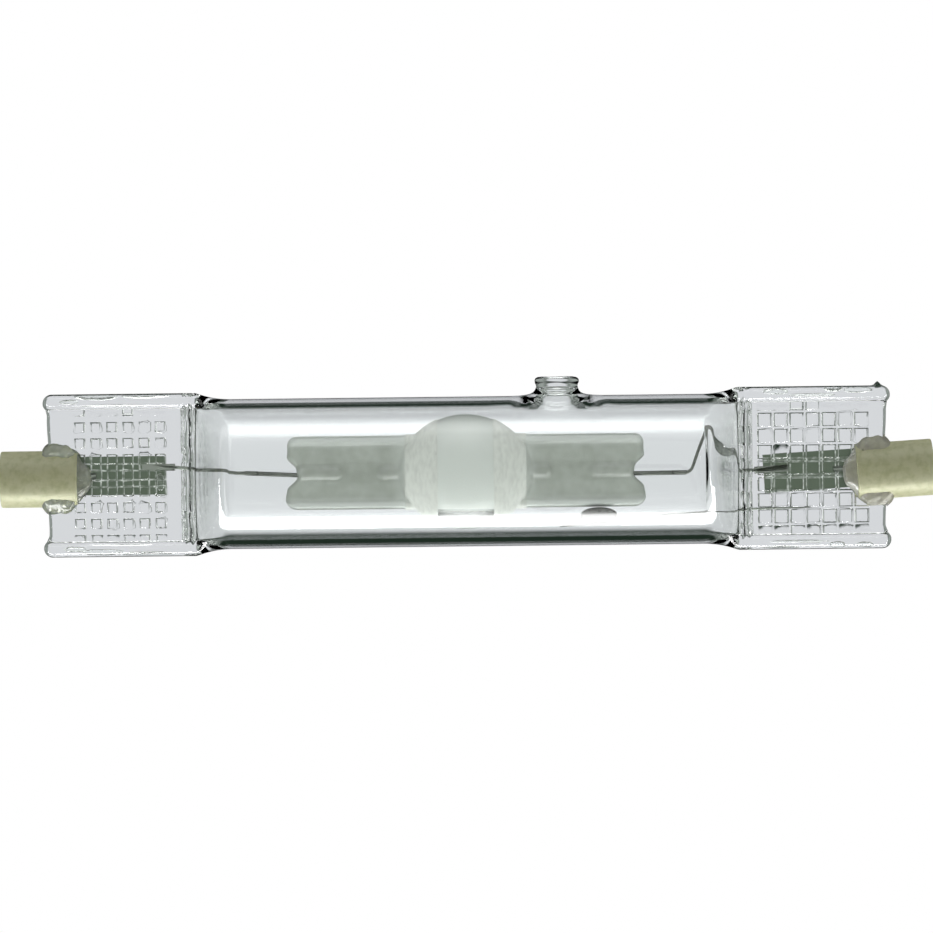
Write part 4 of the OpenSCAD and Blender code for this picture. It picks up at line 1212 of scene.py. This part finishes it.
class LAMP_OT_cement(bpy.types.Operator):
    """Lay the cement that holds the caps on the pinches"""

    bl_idname = "lamp.cement"
    bl_label = "Cement"

    def execute(self, context):
        colours = settings("colours")
        left = self.collar("left_cement_collar", 0.3 * MM, 2.0, AXIS_Z)
        coat_with(left, silicate_cement("Silicate cement, glassy", colours.left_cement, 0.7,
                                        0.12))
        right = self.collar("right_cement_collar", 0.18 * MM, 7.0, AXIS_Z)
        at_right_end(right)
        coat_with(right, silicate_cement("Silicate cement, chalky", colours.right_cement, 0.5,
                                         0.35))
        dress(left, "cement", "left_cement")
        dress(right, "cement", "right_cement")
        return {"FINISHED"}

    def collar(self, name, lumps, seed, lift):
        collar = rolled_skin(name, cement_rings(lumps, seed))
        tidy_faces(collar, merge=1e-6)
        inset = settings("jacket").inset
        web = settings("jacket").web / 2
        deselect()
        bpy.ops.mesh.primitive_cylinder_add(
            vertices=96, radius=CAP_BOX[1].y + 0.01 * MM, depth=CAP_BOX[1].x - CAP_BOX[0].x,
            location=((CAP_BOX[0].x + CAP_BOX[1].x) / 2, 0, 0), rotation=(0, math.pi / 2, 0))
        cut(collar, settle(named("cap_tool")), use_self=True)
        cut(collar, slab("web_tool", inset + 0.2 * MM, CEMENT_BOX[1].x + 2 * MM,
                         web + 0.01 * MM, 3 * CAP_BOX[1].y), use_self=True)
        return smooth(tidy_faces(collar, merge=1e-6), 60)


# Foils, leads and the rest inside

class LAMP_OT_fittings(bpy.types.Operator):
    """Finish the foils, leads, electrodes, fill and getter on smooth copies of their solids"""

    bl_idname = "lamp.fittings"
    bl_label = "Foils, leads and fill"

    def execute(self, context):
        colours = settings("colours")
        sizes = settings("jacket")
        finishes = {
            "left_foil": (pressed_foil("Molybdenum foil, left", colours.foil, sizes.left_start,
                                       sizes.left_pad, False, 0.75), "pinch_molybdenum"),
            "right_foil": (pressed_foil("Molybdenum foil, right", colours.foil,
                                        sizes.right_start, sizes.right_pad, True, 1.0),
                           "pinch_molybdenum"),
            "arc_foil": (molybdenum("Molybdenum foil, bright", colours.arc_foil, 0.5, 0.35 * MM,
                                    0.01 * MM, (1, 1, 2.5)), "pinch_molybdenum"),
            "lead": (pinched_wire(), "lead_molybdenum"),
            "tungsten": (plain_metal("Tungsten", colours.tungsten, 0.45, 0.1 * MM), "tungsten"),
            "mercury": (plain_metal("Mercury", colours.mercury, 0.04, 3 * MM), "mercury"),
            "getter": (sintered_getter(), "getter_steel"),
        }
        kinds = {"arc_foil": "arc_foil", "left_foil": "left_foil",
                 "right_foil": "right_foil", "lead": "lead", "electrode_rod": "tungsten",
                 "electrode_coil": "tungsten", "mercury_bead": "mercury",
                 "getter_cup": "getter", "getter_wire": "lead"}
        for node in sorted(frame["nodes"]):
            kind = next((kinds[end] for end in kinds if node.endswith(end)), None)
            if kind is None:
                continue
            material, slot = finishes[kind]
            piece = self.copy(node)
            coat_with(piece, material)
            dress(piece, slot, node)
        return {"FINISHED"}

    def copy(self, node):
        """A merged and smoothed copy of a CAD node's mesh."""
        source = frame["nodes"][node]
        piece = bpy.data.objects.new(node + "_metal", source.data.copy())
        bpy.context.scene.collection.objects.link(piece)
        take(piece)
        bpy.ops.object.mode_set(mode="EDIT")
        bpy.ops.mesh.select_all(action="SELECT")
        bpy.ops.mesh.remove_doubles(threshold=1e-7)
        bpy.ops.object.mode_set(mode="OBJECT")
        return smooth(piece, 40)


# Stage

def bright_field(world):
    """White behind the lamp, and a surround that is one thing to dull faces and another to glass.

    Through the glass one looks at a pale window straight behind the lamp, with a dark ring round
    it that draws the edges of the glass. Two soft bands above and below make the long lights.
    """
    world.use_nodes = True
    tree = world.node_tree
    tree.nodes.clear()
    output = add_node(tree, "ShaderNodeOutputWorld")
    path = add_node(tree, "ShaderNodeLightPath")
    place = add_node(tree, "ShaderNodeTexCoord")
    split = add_node(tree, "ShaderNodeSeparateXYZ", {"Vector": place.outputs["Generated"]})
    behind = add_node(tree, "ShaderNodeVectorMath", {
        0: place.outputs["Generated"], 1: (0, math.cos(0.1), math.sin(0.1))},
        operation="DOT_PRODUCT")

    front = add_node(tree, "ShaderNodeMath", {0: split.outputs["Y"], 1: -1.0},
                     operation="MULTIPLY")
    turn = add_node(tree, "ShaderNodeMath", {0: split.outputs["Z"], 1: front.outputs[0]},
                    operation="ARCTAN2")

    def glow(value, reach, stops, strength):
        """Light by a ramp over values from -reach to reach; a stop is a value, colour and share."""
        share = add_node(tree, "ShaderNodeMapRange",
                         {"Value": value, "From Min": -reach, "From Max": reach})
        ramp = add_node(tree, "ShaderNodeValToRGB", {"Fac": share.outputs[0]})
        elements = ramp.color_ramp.elements
        while len(elements) < len(stops):
            elements.new(0.5)
        for element, (at, code, part) in zip(elements, stops):
            element.position = (at / reach + 1) / 2
            element.color = (*[c * part for c in linear(code)], 1)
        return add_node(tree, "ShaderNodeBackground",
                        {"Color": ramp.outputs["Color"], "Strength": strength}).outputs[0]

    def either(choice, when_not, when):
        return add_node(tree, "ShaderNodeMixShader",
                        {0: choice, 1: when_not, 2: when}).outputs[0]

    height = split.outputs["Z"]
    dull = glow(height, 1.0, [
        (-1.0, "#FFFFFF", 1.0), (-0.48, "#FFFFFF", 1.0), (-0.34, "#B4C4A8", 0.05),
        (0.55, "#B4C4A8", 0.03), (0.75, "#FFFFFF", 0.62), (1.0, "#FFFFFF", 0.75)], 1.05)
    long_lights = math.radians(180), [
        (math.radians(-97), "#FFFFFF", 0.0), (math.radians(-93), "#FFFFFF", 1.0),
        (math.radians(-74), "#FFFFFF", 1.0), (math.radians(-69), "#FFFFFF", 0.0),
        (math.radians(60), "#FFFFFF", 0.0), (math.radians(68), "#FFFFFF", 0.1),
        (math.radians(78), "#FFFFFF", 0.1), (math.radians(86), "#FFFFFF", 0.0)]
    bands = glow(turn.outputs[0], *long_lights, 18.0)
    faint_bands = glow(turn.outputs[0], *long_lights, 3.0)
    window = glow(behind.outputs["Value"], 1.0, [
        (0.9, "#2A382E", 0.75), (0.925, "#2A382E", 0.8), (0.955, "#DCDDE1", 0.97)], 1.0)
    room = glow(height, 1.0, [
        (-1.0, "#FFFFFF", 1.0), (-0.95, "#FFFFFF", 1.0), (-0.88, "#F4F8F4", 0.37),
        (0.5, "#F4F8F4", 0.35), (0.86, "#FFFFFF", 0.36), (1.0, "#FFFFFF", 0.6)], 3.0)
    sideways = add_node(tree, "ShaderNodeMath", {0: split.outputs["X"]}, operation="ABSOLUTE")
    aside = add_node(tree, "ShaderNodeMapRange", {
        "Value": sideways.outputs[0], "From Min": 0.24, "From Max": 0.5}).outputs[0]
    pale = add_node(tree, "ShaderNodeBackground", {"Color": (0.3, 0.33, 0.31, 1)}).outputs[0]
    window = either(aside, window, pale)
    at_window = add_node(tree, "ShaderNodeMapRange", {
        "Value": behind.outputs["Value"], "From Min": 0.1, "From Max": 0.35}).outputs[0]
    through = add_node(tree, "ShaderNodeAddShader",
                       {0: either(at_window, room, window), 1: faint_bands}).outputs[0]
    white = add_node(tree, "ShaderNodeBackground", {"Color": (1, 1, 1, 1)}).outputs[0]
    glossy = either(path.outputs["Is Glossy Ray"], dull, bands)
    glass = either(path.outputs["Is Transmission Ray"], glossy, through)
    final = either(path.outputs["Is Camera Ray"], glass, white)
    tree.links.new(final, output.inputs["Surface"])


def pale_floor():
    """A pale table top that keeps a soft shadow near the lamp and turns white further out."""
    material = bpy.data.materials.new("Pale table")
    material.use_nodes = True
    tree = material.node_tree
    tree.nodes.clear()
    output = add_node(tree, "ShaderNodeOutputMaterial")
    base = (*settings("colours").floor, 1)
    dull = add_node(tree, "ShaderNodeBsdfDiffuse", {"Color": base})
    glow = add_node(tree, "ShaderNodeEmission", {"Color": base, "Strength": 0.5})
    top = add_node(tree, "ShaderNodeAddShader", {0: dull.outputs[0], 1: glow.outputs[0]})
    white = add_node(tree, "ShaderNodeEmission", {"Color": base, "Strength": 1.0})
    place = add_node(tree, "ShaderNodeTexCoord")
    away = add_node(tree, "ShaderNodeVectorMath",
                    {0: place.outputs["Object"], 1: (SPAN / 2, 0, AXIS_Z)}, operation="DISTANCE")
    fade = add_node(tree, "ShaderNodeMapRange",
                    {"Value": away.outputs["Value"], "From Min": 0.22, "From Max": 0.5})
    mixed = add_node(tree, "ShaderNodeMixShader",
                     {0: fade.outputs[0], 1: top.outputs[0], 2: white.outputs[0]})
    tree.links.new(mixed.outputs[0], output.inputs["Surface"])
    return material


def strip_light(name, place, size, power):
    """A long soft light beside the lamp, turned towards it."""
    lamp = bpy.data.lights.new(name, "AREA")
    lamp.shape = "RECTANGLE"
    lamp.size, lamp.size_y = size
    lamp.energy = power
    light = bpy.data.objects.new(name, lamp)
    bpy.context.scene.collection.objects.link(light)
    light.location = place
    aim = Vector((SPAN / 2, 0, AXIS_Z)) - Vector(place)
    light.rotation_euler = aim.to_track_quat("-Z", "Y").to_euler()
    return light


class LAMP_OT_stage(bpy.types.Operator):
    """Set the camera, the lights, the white surround and the pale floor"""

    bl_idname = "lamp.stage"
    bl_label = "Stage"

    def execute(self, context):
        scene = context.scene
        stage = settings("stage")
        scene.view_settings.view_transform = "Standard"
        scene.cycles.max_bounces = 24
        scene.cycles.transmission_bounces = 24
        lens = bpy.data.cameras.new("Camera")
        lens.sensor_width = 36
        lens.lens = lens.sensor_width * stage.distance / stage.view_width
        camera = bpy.data.objects.new("Camera", lens)
        scene.collection.objects.link(camera)
        camera.location = (stage.centre_x, -stage.distance, AXIS_Z + stage.centre_z)
        camera.rotation_euler = (math.pi / 2, stage.roll, 0)
        lens.clip_start, lens.clip_end = 0.01, 50
        scene.camera = camera
        scene.world = bpy.data.worlds.new("Studio")
        bright_field(scene.world)
        middle = SPAN / 2
        strip_light("Ceiling light", (middle, -0.3, AXIS_Z + 0.6), (0.8, 0.3), 0.25)
        self.floor(stage)
        return {"FINISHED"}

    def floor(self, stage):
        deselect()
        bpy.ops.mesh.primitive_plane_add(size=8)
        floor = named("floor")
        floor.location = (SPAN / 2, 0, AXIS_Z - stage.floor_drop)
        settle(floor)
        coat_with(floor, pale_floor())
        floor.visible_transmission = False
        floor.visible_glossy = False
        floor.visible_diffuse = False
        floor.visible_shadow = False


class LAMP_PT_sizes(bpy.types.Panel):
    """Sizes, colours and steps of the lamp"""

    bl_idname = "LAMP_PT_sizes"
    bl_label = "Lamp"
    bl_space_type = "VIEW_3D"
    bl_region_type = "UI"
    bl_category = "Lamp"

    def draw(self, context):
        for group, kind in SIZES.items():
            box = self.layout.box()
            box.label(text=group.replace("_", " ").capitalize())
            for name in kind.__annotations__:
                box.prop(settings(group), name)
        for step in STEPS:
            self.layout.operator(step.bl_idname)


STEPS = (LAMP_OT_stage, LAMP_OT_jacket, LAMP_OT_arc_tube, LAMP_OT_heat_coats, LAMP_OT_caps,
         LAMP_OT_cement, LAMP_OT_fittings)
CLASSES = (*SIZES.values(), *STEPS, LAMP_PT_sizes)


def register():
    for kind in CLASSES:
        bpy.utils.register_class(kind)
    for group, kind in SIZES.items():
        setattr(bpy.types.Scene, "lamp_" + group, PointerProperty(type=kind))


def unregister():
    for group in SIZES:
        delattr(bpy.types.Scene, "lamp_" + group)
    for kind in reversed(CLASSES):
        bpy.utils.unregister_class(kind)


def main():
    register()
    bpy.ops.lamp.stage()
    bpy.ops.lamp.jacket()
    bpy.ops.lamp.arc_tube()
    bpy.ops.lamp.heat_coats()
    bpy.ops.lamp.caps()
    bpy.ops.lamp.cement()
    bpy.ops.lamp.fittings()


if __name__ == "__main__":
    main()
